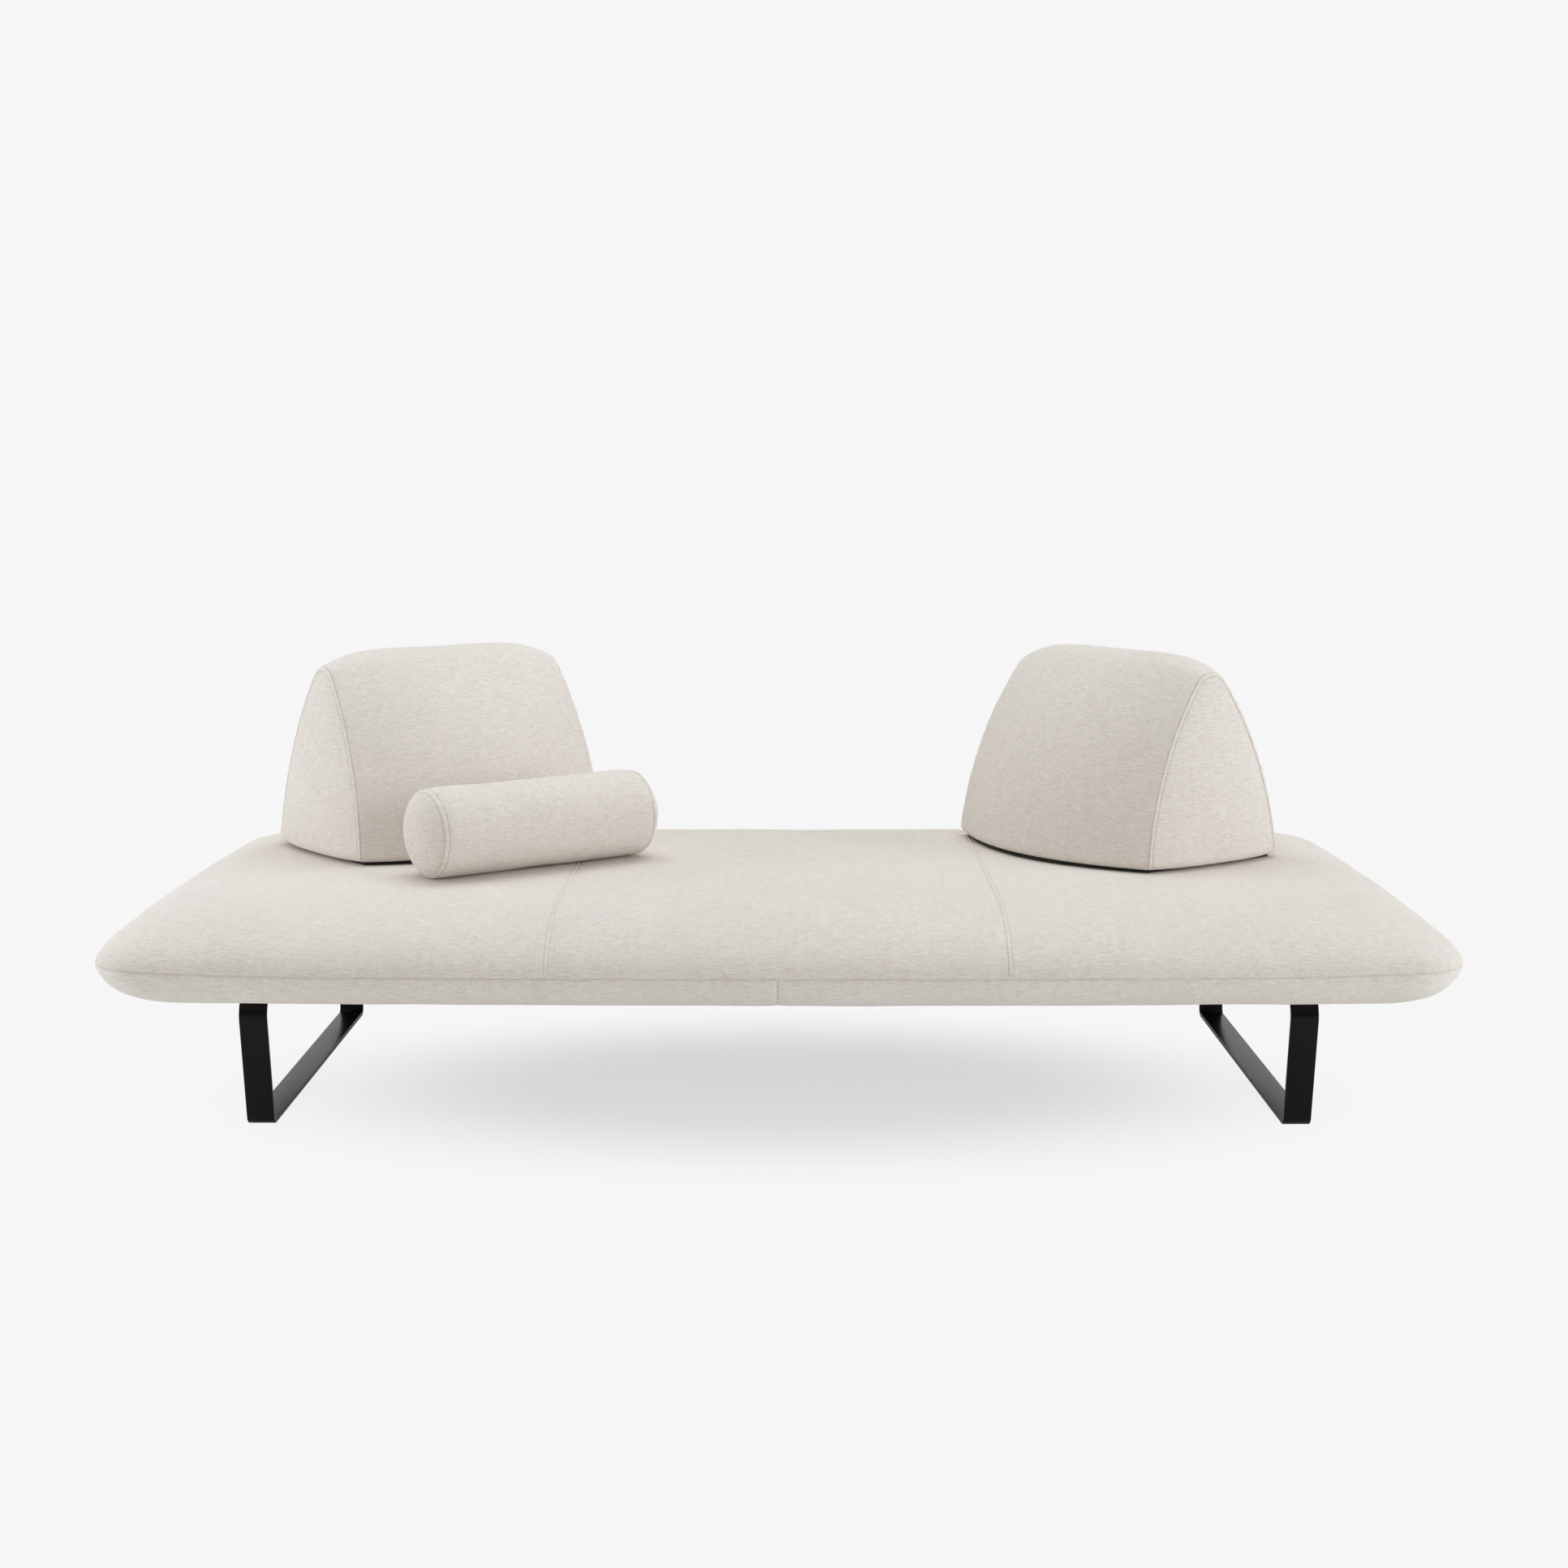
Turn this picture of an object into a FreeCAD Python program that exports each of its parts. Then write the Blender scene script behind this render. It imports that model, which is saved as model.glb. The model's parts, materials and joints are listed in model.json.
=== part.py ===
import FreeCAD, Part
import math
import os

# Outdoor sofa: a long upholstered seat on two bent flat-bar sled legs, two loose weighted
# backrest cushions and one loose bolster.  Millimetres, +Z up, +X to the right and -Y to the
# front as a person in front of it sees it.  The origin is on the floor under the seat's centre.

doc = FreeCAD.newDocument("OutdoorSofa")
sheet = doc.addObject("Spreadsheet::Sheet", "Sizes")

SIZES = (
    ("seat_length", 2428, "seat over the perimeter seam, end to end"),
    ("seat_depth", 1200, "seat over the perimeter seam, front to rear"),
    ("seat_underside", 256, "floor to the seat's underside"),
    ("crown_height", 97, "perimeter seam to the flat top"),
    ("crown_run_length", 170, "how far the top's roll reaches in from the ends"),
    ("crown_run_depth", 240, "how far the top's roll reaches in from front and rear"),
    ("lower_run_length", 105, "how far the lower roll reaches in from the ends"),
    ("lower_run_depth", 90, "how far the lower roll reaches in from front and rear"),
    ("corner_radius", 110, "plan corner at the perimeter seam"),
    ("plateau_radius", 90, "plan corner of the flat top"),
    ("bow_depth", 20, "front and rear edges bow out by this at their middle"),
    ("bow_length", 10, "end edges bow out by this at their middle"),
    ("cloth", 2, "cover fabric with its backing"),
    ("foam_gap", 2, "slack between cover and foam"),
    ("panel_seam", 400, "cross seams of the top cover from the centre"),
    ("rail_height", 60, "steel tube frame, height"),
    ("rail_width", 40, "steel tube frame, width"),
    ("leg_rail_width", 60, "steel tube that carries a leg, width"),
    ("rail_wall", 2.5, "steel tube wall"),
    ("frame_length", 2080, "frame over its end rails"),
    ("frame_depth", 860, "frame over its front and rear rails"),
    ("strap_thickness", 2, "elastic webbing"),
    ("strap_width", 70, "elastic webbing"),
    ("strap_count", 12, "straps across the frame"),
    ("strap_pitch", 165, "from strap to strap"),
    ("strap_turn", 30, "length of strap turned down outside a rail"),
    ("clip_height", 22, "clip that pins a strap end"),
    ("clip_thickness", 2, "clip that pins a strap end"),
    ("clip_edge", 1, "clip wider than its strap, each side"),
    ("hem_cover", 20, "width of rail that the lower band's hem covers"),
    ("dust_cloth", 1, "underside cloth"),
    ("leg_spread", 945, "centre of a leg from the sofa's centre"),
    ("leg_width", 50, "flat bar, width"),
    ("leg_bar", 8, "flat bar, thickness"),
    ("leg_setback", 20, "runner inside the frame at front and rear"),
    ("leg_lean", 42, "how far an upright leans out over its height"),
    ("leg_top_bend", 45, "outer radius of the bend under the seat"),
    ("leg_foot_bend", 18, "outer radius of the bend at the floor"),
    ("flange_tail", 25, "leg flange beyond its inner screw"),
    ("bolt_inset", 30, "outer leg screw from the front or rear rail"),
    ("bolt_step", 50, "between the two screws of a flange"),
    ("bolt_size", 8, "leg screw thread"),
    ("bolt_length", 25, "leg screw under its head"),
    ("bolt_head", 14, "leg screw head diameter"),
    ("bolt_head_height", 4.5, "leg screw head height"),
    ("bolt_clearance", 1, "screw hole over the screw"),
    ("washer_size", 16, "washer diameter"),
    ("washer_thickness", 1.6, "washer"),
    ("nut_body", 11, "rivet nut body diameter"),
    ("nut_length", 16, "rivet nut body length"),
    ("nut_flange", 15, "rivet nut flange diameter"),
    ("nut_flange_height", 1.2, "rivet nut flange height"),
    ("fit_gap", 0.2, "running clearance round screws and nuts"),
    ("plate_length", 100, "spacer plate along a leg flange"),
    ("plate_width", 54, "spacer plate across a leg flange"),
    ("plate_edge", 4, "gap between a spacer plate and the underside cloth"),
    ("glide_size", 40, "floor glide diameter"),
    ("glide_height", 3, "floor glide"),
    ("glide_inset", 65, "floor glide's centre from the runner's end"),
    ("rest_gap", 0.3, "loose pieces lie this far off the seat"),
    ("back_width", 571, "backrest over its side seams at the base"),
    ("back_depth_ends", 360, "backrest depth at a side seam"),
    ("back_depth_middle", 530, "backrest depth at its middle"),
    ("back_height", 408.5, "backrest cover, base to ridge"),
    ("back_shoulder", 374.5, "backrest cover, base to the top of a side seam"),
    ("back_ridge_ends", 42, "round of the ridge at a side seam"),
    ("back_ridge_middle", 97, "round of the ridge at the middle"),
    ("back_widest", -60, "height at which the flanks would stand upright"),
    ("back_taper", 0.056, "lean of a side panel, run over rise"),
    ("side_bulge", 18, "crown of a side panel"),
    ("board_thickness", 12, "backrest base board"),
    ("board_gap", 20, "base board inside the cover"),
    ("pad_thickness", 5, "grip pad"),
    ("pad_inset", 24, "grip pad inside the cover's edge"),
    ("ballast_size", 240, "ballast disc diameter"),
    ("ballast_thickness", 14, "ballast disc"),
    ("ballast_play", 0.5, "clearance round the ballast disc"),
    ("left_back_x", -711, "left backrest, centre"),
    ("left_back_y", 264, "left backrest, centre"),
    ("left_back_yaw", 39, "left backrest, degrees turned"),
    ("right_back_x", 692, "right backrest, centre"),
    ("right_back_y", 202, "right backrest, centre"),
    ("right_back_yaw", -55.3, "right backrest, degrees turned"),
    ("bolster_size", 174, "bolster diameter"),
    ("bolster_length", 475, "bolster between its end seams"),
    ("bolster_bulge", 28, "crown of a bolster end"),
    ("bolster_slack", 1, "between bolster cover and core"),
    ("bolster_x", -483, "bolster, centre"),
    ("bolster_y", -45, "bolster, centre"),
    ("bolster_yaw", 37, "bolster, degrees turned"),
)

for row, (alias, value, meaning) in enumerate(SIZES, start=1):
    sheet.set("A%d" % row, alias)
    sheet.set("B%d" % row, str(value))
    sheet.setAlias("B%d" % row, alias)
    sheet.set("C%d" % row, meaning)
doc.recompute()


def size(alias):
    return float(sheet.get(alias))


def linked(text):
    """Writes the sheet's name before every size named in an expression."""
    names = sorted((row[0] for row in SIZES), key=len, reverse=True)
    words = []
    word = ""
    for letter in text + " ":
        if letter.isalnum() or letter in "_.":
            word += letter
            continue
        words.append("Sizes." + word if word in names else word)
        words.append(letter)
        word = ""
    return "".join(words).strip()


RAIL_BASE = "(seat_underside + cloth)"
RAIL_TOP = "(seat_underside + cloth + rail_height)"
SEAM = "(seat_underside + cloth + rail_height + strap_thickness)"
OUTER_BOLT = "(frame_depth / 2 - rail_width - bolt_inset)"
INNER_BOLT = "(frame_depth / 2 - rail_width - bolt_inset - bolt_step)"
BOLT_MIDDLE = "(frame_depth / 2 - rail_width - bolt_inset - bolt_step / 2)"

NODES = []


def place(obj, x, y, z):
    obj.setExpression("Placement.Base.x", linked(x))
    obj.setExpression("Placement.Base.y", linked(y))
    obj.setExpression("Placement.Base.z", linked(z))
    return obj


def box(name, length, width, height, x, y, z):
    """A block centred on x and y with its underside at z; every argument is an expression."""
    obj = doc.addObject("Part::Box", name)
    obj.setExpression("Length", linked(length))
    obj.setExpression("Width", linked(width))
    obj.setExpression("Height", linked(height))
    return place(obj, "%s - (%s) / 2" % (x, length), "%s - (%s) / 2" % (y, width), z)


def rod(name, diameter, height, x, y, z):
    """An upright cylinder with its underside at z."""
    obj = doc.addObject("Part::Cylinder", name)
    obj.setExpression("Radius", linked("(%s) / 2" % diameter))
    obj.setExpression("Height", linked(height))
    return place(obj, x, y, z)


def join(name, pieces):
    obj = doc.addObject("Part::MultiFuse", name)
    obj.Shapes = pieces
    return obj


def cut(name, base, tools):
    tool = tools[0] if len(tools) == 1 else join(name + "_tools", tools)
    obj = doc.addObject("Part::Cut", name)
    obj.Base = base
    obj.Tool = tool
    return obj


def group(name, pieces):
    obj = doc.addObject("Part::Compound", name)
    obj.Links = pieces
    return obj


def shaped(name, shape, placement=None):
    obj = doc.addObject("Part::Feature", name)
    obj.Shape = shape
    if placement is not None:
        obj.Placement = placement
    return obj


def node(obj, label):
    obj.Label = label
    NODES.append(obj)
    return obj


SIDES = (("left", "-", -1), ("right", "", 1))
CORNERS = [(side, sign, end, way)
           for side, sign in (("left", "-"), ("right", ""))
           for end, way in (("front", "-"), ("rear", ""))]


# Steel tube frame


def tube(name, length, width, along_x, x, y):
    """Rectangular tube with open ends, its wall cut out of a block."""
    over = "(%s) + rail_width" % length
    hollow = "(%s) - 2 * rail_wall" % width
    if along_x:
        outer = box(name + "_outer", length, width, "rail_height", x, y, RAIL_BASE)
        inner = box(name + "_bore", over, hollow, "rail_height - 2 * rail_wall",
                    x, y, RAIL_BASE + " + rail_wall")
    else:
        outer = box(name + "_outer", width, length, "rail_height", x, y, RAIL_BASE)
        inner = box(name + "_bore", hollow, over, "rail_height - 2 * rail_wall",
                    x, y, RAIL_BASE + " + rail_wall")
    return outer, inner


CROSS_SPAN = "frame_depth - 2 * rail_width"

for end, way in (("front", "-"), ("rear", "")):
    outer, inner = tube(end + "_rail", "frame_length", "rail_width", True,
                        "0", way + "(frame_depth - rail_width) / 2")
    node(cut(end + "_rail", outer, [inner]), end + "_rail")

for side, sign, turn in SIDES:
    outer, inner = tube(side + "_end_rail", CROSS_SPAN, "rail_width", False,
                        sign + "(frame_length - rail_width) / 2", "0")
    node(cut(side + "_end_rail", outer, [inner]), side + "_end_rail")

outer, inner = tube("centre_cross_rail", CROSS_SPAN, "rail_width", False, "0", "0")
node(cut("centre_cross_rail", outer, [inner]), "centre_cross_rail")


def bolt_spots(side_sign):
    """The four screws of one leg as expressions for x and y."""
    spots = []
    for way in ("-", ""):
        spots.append((side_sign + "leg_spread", way + OUTER_BOLT))
        spots.append((side_sign + "leg_spread", way + INNER_BOLT))
    return spots


for side, sign, turn in SIDES:
    outer, inner = tube(side + "_cross_rail", CROSS_SPAN, "leg_rail_width", False,
                        sign + "leg_spread", "0")
    holes = [rod("%s_nut_hole_%d" % (side, i), "nut_body + 2 * fit_gap", "3 * rail_wall",
                 x, y, RAIL_BASE + " - rail_wall")
             for i, (x, y) in enumerate(bolt_spots(sign))]
    node(cut(side + "_cross_rail", outer, [inner] + holes), side + "_cross_rail")


# Legs, their screws and the glides


def corner_round(before, corner, after, radius):
    """Tangent points and mid point of an arc that rounds one corner of a bent bar's path."""
    to_before = (before - corner).normalize()
    to_after = (after - corner).normalize()
    half = to_before.getAngle(to_after) / 2
    reach = radius / math.tan(half)
    middle = (to_before + to_after).normalize()
    centre = corner + middle * (radius / math.sin(half))
    return corner + to_before * reach, centre - middle * radius, corner + to_after * reach


def bar_edge(points, radii):
    """Open path through the points with its inner corners rounded."""
    edges = []
    start = points[0]
    for before, corner, after, radius in zip(points, points[1:], points[2:], radii):
        first, middle, last = corner_round(before, corner, after, radius)
        edges.append(Part.LineSegment(start, first).toShape())
        edges.append(Part.Arc(first, middle, last).toShape())
        start = last
    edges.append(Part.LineSegment(start, points[-1]).toShape())
    return edges


def crossing(a, b, c, d):
    """Where the line a-b meets the line c-d, all in the plane x = constant."""
    r = b - a
    q = d - c
    scale = r.y * q.z - r.z * q.y
    return a + r * (((c.y - a.y) * q.z - (c.z - a.z) * q.y) / scale)


def sled_leg_blank():
    """Flat bar bent to a runner, two leaning uprights and two inward flanges."""
    bar = size("leg_bar")
    floor = size("glide_height")
    top = size("seat_underside")
    foot = size("frame_depth") / 2 - size("leg_setback")
    crest = foot + size("leg_lean")
    x = -size("leg_width") / 2
    vec = FreeCAD.Vector
    tail = size("frame_depth") / 2 - size("rail_width") - size("bolt_inset")
    tail -= size("bolt_step") + size("flange_tail")
    outer = [vec(x, -tail, top), vec(x, -crest, top), vec(x, -foot, floor),
             vec(x, foot, floor), vec(x, crest, top), vec(x, tail, top)]
    inner_lines = []
    for a, b in zip(outer, outer[1:]):
        way = (b - a).normalize()
        inward = vec(0, -way.z, way.y) * bar
        inner_lines.append((a + inward, b + inward))
    inner = [inner_lines[0][0]]
    for (a, b), (c, d) in zip(inner_lines, inner_lines[1:]):
        inner.append(crossing(a, b, c, d))
    inner.append(inner_lines[-1][1])
    radii = [size("leg_top_bend"), size("leg_foot_bend"),
             size("leg_foot_bend"), size("leg_top_bend")]
    edges = bar_edge(outer, radii)
    edges += bar_edge(inner, [r - bar for r in radii])
    edges.append(Part.LineSegment(outer[0], inner[0]).toShape())
    edges.append(Part.LineSegment(outer[-1], inner[-1]).toShape())
    wire = Part.Wire(Part.__sortEdges__(edges))
    return Part.Face(wire).extrude(vec(size("leg_width"), 0, 0))


for side, sign, turn in SIDES:
    blank = shaped(side + "_leg_blank", sled_leg_blank())
    place(blank, sign + "leg_spread", "0", "0")
    holes = [rod("%s_leg_hole_%d" % (side, i), "bolt_size + bolt_clearance", "3 * leg_bar",
                 x, y, "seat_underside - 2 * leg_bar")
             for i, (x, y) in enumerate(bolt_spots(sign))]
    node(cut("sled_leg_" + side, blank, holes), "sled_leg_" + side)

screws = []
washers = []
nuts = []
for side, sign, turn in SIDES:
    for i, (x, y) in enumerate(bolt_spots(sign)):
        name = "%s_%d" % (side, i)
        under_flange = "seat_underside - leg_bar"
        under_washer = under_flange + " - washer_thickness"
        head = rod("head_" + name, "bolt_head", "bolt_head_height",
                   x, y, under_washer + " - bolt_head_height")
        shank = rod("shank_" + name, "bolt_size", "bolt_length", x, y, under_washer)
        screws.append(join("screw_" + name, [head, shank]))
        ring = rod("washer_disc_" + name, "washer_size", "washer_thickness", x, y, under_washer)
        bore = rod("washer_bore_" + name, "bolt_size + 2 * fit_gap", "3 * washer_thickness",
                   x, y, under_washer + " - washer_thickness")
        washers.append(cut("washer_" + name, ring, [bore]))
        body = rod("nut_body_" + name, "nut_body", "nut_length", x, y, RAIL_BASE)
        flange = rod("nut_flange_" + name, "nut_flange", "nut_flange_height",
                     x, y, RAIL_BASE + " - nut_flange_height")
        thread = rod("nut_bore_" + name, "bolt_size + 2 * fit_gap", "3 * nut_length",
                     x, y, RAIL_BASE + " - nut_length")
        nuts.append(cut("nut_" + name, join("nut_blank_" + name, [body, flange]), [thread]))
node(group("leg_screws", screws), "leg_screws")
node(group("leg_washers", washers), "leg_washers")
node(group("rivet_nuts", nuts), "rivet_nuts")

plates = []
for side, sign, end, way in CORNERS:
    name = "%s_%s" % (side, end)
    x = sign + "leg_spread"
    y = way + BOLT_MIDDLE
    blank = box("plate_blank_" + name, "plate_width", "plate_length", "cloth",
                x, y, "seat_underside")
    holes = [rod("plate_hole_%s_%d" % (name, i), "nut_flange + 4 * fit_gap", "3 * cloth",
                 x, way + spot, "seat_underside - cloth")
             for i, spot in enumerate((OUTER_BOLT, INNER_BOLT))]
    plates.append(cut("plate_" + name, blank, holes))
node(group("leg_spacer_plates", plates), "leg_spacer_plates")

glides = [rod("glide_%s_%s" % (side, end), "glide_size", "glide_height",
              sign + "leg_spread", way + "(frame_depth / 2 - leg_setback - glide_inset)", "0")
          for side, sign, end, way in CORNERS]
node(group("floor_glides", glides), "floor_glides")


# Elastic webbing over the frame, clipped outside the front and rear rails

straps = []
clips = []
count = int(size("strap_count"))
for i in range(count):
    x = "%s * strap_pitch" % (i - (count - 1) / 2)
    name = "%02d" % i
    flat = box("strap_flat_" + name, "strap_width", "frame_depth + 2 * strap_thickness",
               "strap_thickness", x, "0", RAIL_TOP)
    turns = []
    for end, way in (("front", "-"), ("rear", "")):
        turns.append(box("strap_%s_%s" % (end, name), "strap_width", "strap_thickness",
                         "strap_turn", x, way + "(frame_depth + strap_thickness) / 2",
                         RAIL_TOP + " - strap_turn"))
        clips.append(box("clip_%s_%s" % (end, name), "strap_width + 2 * clip_edge", "clip_thickness",
                         "clip_height", x,
                         way + "(frame_depth / 2 + strap_thickness + clip_thickness / 2)",
                         RAIL_TOP + " - strap_turn"))
    straps.append(join("strap_" + name, [flat] + turns))
node(group("webbing_straps", straps), "webbing_straps")
node(group("webbing_clips", clips), "webbing_clips")


# Seat cover and foam


def plan_wire(half_x, half_y, radius, z):
    """Rounded plan outline whose four sides bow out a little."""
    bow_x = size("bow_length")
    bow_y = size("bow_depth")
    cx = half_x - bow_x - radius
    cy = half_y - bow_y - radius
    lean = radius * math.sqrt(0.5)
    vec = FreeCAD.Vector
    arcs = []
    for sx, sy in ((1, 1), (-1, 1), (-1, -1), (1, -1)):
        long_end = vec(sx * cx, sy * (cy + radius), z)
        short_end = vec(sx * (cx + radius), sy * cy, z)
        corner = vec(sx * (cx + lean), sy * (cy + lean), z)
        if sx * sy > 0:
            arcs.append(Part.Arc(short_end, corner, long_end))
            arcs.append(Part.Arc(long_end, vec(0, sy * half_y, z),
                                 vec(-sx * cx, sy * (cy + radius), z)))
        else:
            arcs.append(Part.Arc(long_end, corner, short_end))
            arcs.append(Part.Arc(short_end, vec(sx * half_x, 0, z),
                                 vec(sx * (cx + radius), -sy * cy, z)))
    return Part.Wire([arc.toShape() for arc in arcs])


def roll(inset, run_x, run_y, rise, inner_radius, start, steps=8):
    """Solid from the perimeter seam that rolls over to a flat face, upward or downward."""
    wires = []
    for i in range(steps + 1):
        angle = math.pi / 2 * i / steps
        pull = 1 - math.cos(angle)
        radius = size("corner_radius") - inset
        radius += (inner_radius - size("corner_radius")) * pull
        wires.append(plan_wire(size("seat_length") / 2 - inset - (run_x - inset) * pull,
                               size("seat_depth") / 2 - inset - (run_y - inset) * pull,
                               radius, start + rise * math.sin(angle)))
    return Part.makeLoft(wires, True, False)


seam = size("seat_underside") + size("cloth") + size("rail_height") + size("strap_thickness")
seat_top = seam + size("crown_height")


def crown(inset):
    return roll(inset, size("crown_run_length"), size("crown_run_depth"),
                size("crown_height") - inset, size("plateau_radius"), seam)


def lower(inset, floor):
    return roll(inset, size("lower_run_length"), size("lower_run_depth"),
                floor - seam, size("corner_radius"), seam)


def slab(x0, x1, y0, y1, z0, z1):
    corner = FreeCAD.Vector(x0, y0, z0)
    return Part.makeBox(x1 - x0, y1 - y0, z1 - z0, corner)


BEYOND = size("seat_length")
cloth = size("cloth")
hem_floor = size("seat_underside") + cloth

top_shell = crown(0).cut(crown(cloth))
third = size("panel_seam")
for label, x0, x1 in (("seat_cover_left", -BEYOND, -third), ("seat_cover_centre", -third, third),
                      ("seat_cover_right", third, BEYOND)):
    piece = top_shell.common(slab(x0, x1, -BEYOND, BEYOND, 0, BEYOND))
    node(shaped(label, piece.Solids[0]), label)

hem_x = size("frame_length") / 2 - size("hem_cover")
hem_y = size("frame_depth") / 2 - size("hem_cover")
band = lower(0, size("seat_underside")).cut(lower(cloth, hem_floor))
band = band.cut(slab(-hem_x, hem_x, -hem_y, hem_y, 0, seam))
for label, x0, x1 in (("seat_band_left", -BEYOND, 0), ("seat_band_right", 0, BEYOND)):
    piece = band.common(slab(x0, x1, -BEYOND, BEYOND, 0, BEYOND))
    node(shaped(label, piece.Solids[0]), label)

sheet_blank = box("dust_blank", "frame_length - 2 * hem_cover - 4 * fit_gap",
                  "frame_depth - 2 * hem_cover - 4 * fit_gap", "dust_cloth",
                  "0", "0", RAIL_BASE + " - dust_cloth")
openings = [box("dust_opening_%s_%s" % (side, end), "plate_width + 2 * plate_edge",
                "plate_length + 2 * plate_edge", "3 * dust_cloth", sign + "leg_spread",
                way + BOLT_MIDDLE, RAIL_BASE + " - 2 * dust_cloth")
            for side, sign, end, way in CORNERS]
node(cut("underside_cloth", sheet_blank, openings), "underside_cloth")

foam_inset = cloth + size("foam_gap")
node(shaped("seat_foam", crown(foam_inset)), "seat_foam")

frame_x = size("frame_length") / 2
frame_y = size("frame_depth") / 2 + size("strap_thickness") + size("clip_thickness")
padding = lower(foam_inset, hem_floor + size("foam_gap"))
padding = padding.cut(slab(-frame_x, frame_x, -frame_y, frame_y, 0, BEYOND))
for label, y0, y1 in (("edge_foam_front", -BEYOND, -frame_y), ("edge_foam_rear", frame_y, BEYOND)):
    piece = padding.common(slab(-BEYOND, BEYOND, y0, y1, 0, BEYOND))
    node(shaped(label, piece.Solids[0]), label)
for label, x0, x1 in (("edge_foam_left", -BEYOND, -frame_x), ("edge_foam_right", frame_x, BEYOND)):
    piece = padding.common(slab(x0, x1, -frame_y, frame_y, 0, BEYOND))
    node(shaped(label, piece.Solids[0]), label)


# Backrests


def arch_arcs(share, inset, start, scale=1.0, push=0.0):
    """Front flank, ridge and rear flank of an arch at a share of the backrest's half width."""
    spread = abs(share)
    depth = size("back_depth_middle") - (
        size("back_depth_middle") - size("back_depth_ends")) * spread ** 2
    apex = size("back_height") - (size("back_height") - size("back_shoulder")) * spread ** 5
    ridge = size("back_ridge_middle") - (
        size("back_ridge_middle") - size("back_ridge_ends")) * spread ** 2
    half = (depth / 2 - inset) * scale
    apex = (apex - inset) * scale
    ridge = (ridge - inset) * scale
    widest = size("back_widest") * scale
    rise = apex - ridge - widest
    flank = (half ** 2 + rise ** 2 - ridge ** 2) / (2 * (half - ridge))
    centre = half - flank
    join_angle = math.atan2(rise, -centre)
    start_angle = math.asin((start - widest) / flank)
    sign = 1 if share >= 0 else -1

    def spot(y, z):
        x = share * (size("back_width") / 2 - size("back_taper") * z)
        return FreeCAD.Vector(x + sign * push, y, z)

    def side(angle):
        return centre + flank * math.cos(angle), widest + flank * math.sin(angle)

    low = side(start_angle)
    mid = side((start_angle + join_angle) / 2)
    high = side(join_angle)
    return [(spot(-low[0], low[1]), spot(-mid[0], mid[1]), spot(-high[0], high[1])),
            (spot(-high[0], high[1]), spot(0, apex), spot(*high)),
            (spot(*high), spot(*mid), spot(*low))]


def line(a, b):
    return Part.LineSegment(a, b).toShape()


def arch_wire(share, inset, start, scale=1.0, push=0.0):
    """Closed arch with a straight base."""
    arcs = arch_arcs(share, inset, start, scale, push)
    edges = [Part.Arc(*arc).toShape() for arc in arcs]
    edges.append(line(arcs[-1][-1], arcs[0][0]))
    return Part.Wire(edges)


def panel_wire(share):
    """Section of the cover panel that runs up the front, over the ridge and down the rear."""
    outside = arch_arcs(share, 0.0, 0.0)
    inside = arch_arcs(share, cloth, 0.0)
    edges = [Part.Arc(*arc).toShape() for arc in outside]
    edges.append(line(outside[-1][-1], inside[-1][-1]))
    edges += [Part.Arc(*reversed(arc)).toShape() for arc in reversed(inside)]
    edges.append(line(inside[0][0], outside[0][0]))
    return Part.Wire(edges)


SHARES = (-1.0, -0.88, -0.68, -0.36, 0.0, 0.36, 0.68, 0.88, 1.0)


def back_form(inset, start):
    return Part.makeLoft([arch_wire(share, inset, start) for share in SHARES], True, True)


def side_panel(share):
    """Padded side panel: crowned outside, flat on the seam plane inside."""
    bulge = size("side_bulge")
    wires = [arch_wire(share, 0.0, 0.0),
             arch_wire(share, 0.0, 0.0, 0.86, 0.62 * bulge),
             arch_wire(share, 0.0, 0.0, 0.55, bulge)]
    return Part.makeLoft(wires, True, False)


def base_outline(edge, bottom, thickness):
    """Flat plate in the backrest's plan form, inside its outline by the edge."""
    half_x = size("back_width") / 2 - edge
    end_y = size("back_depth_ends") / 2 - edge
    mid_y = size("back_depth_middle") / 2 - edge
    vec = FreeCAD.Vector
    edges = [
        Part.Arc(vec(-half_x, -end_y, bottom), vec(0, -mid_y, bottom), vec(half_x, -end_y, bottom)),
        Part.LineSegment(vec(half_x, -end_y, bottom), vec(half_x, end_y, bottom)),
        Part.Arc(vec(half_x, end_y, bottom), vec(0, mid_y, bottom), vec(-half_x, end_y, bottom)),
        Part.LineSegment(vec(-half_x, end_y, bottom), vec(-half_x, -end_y, bottom)),
    ]
    face = Part.Face(Part.Wire([edge.toShape() for edge in edges]))
    return face.extrude(vec(0, 0, thickness))


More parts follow.
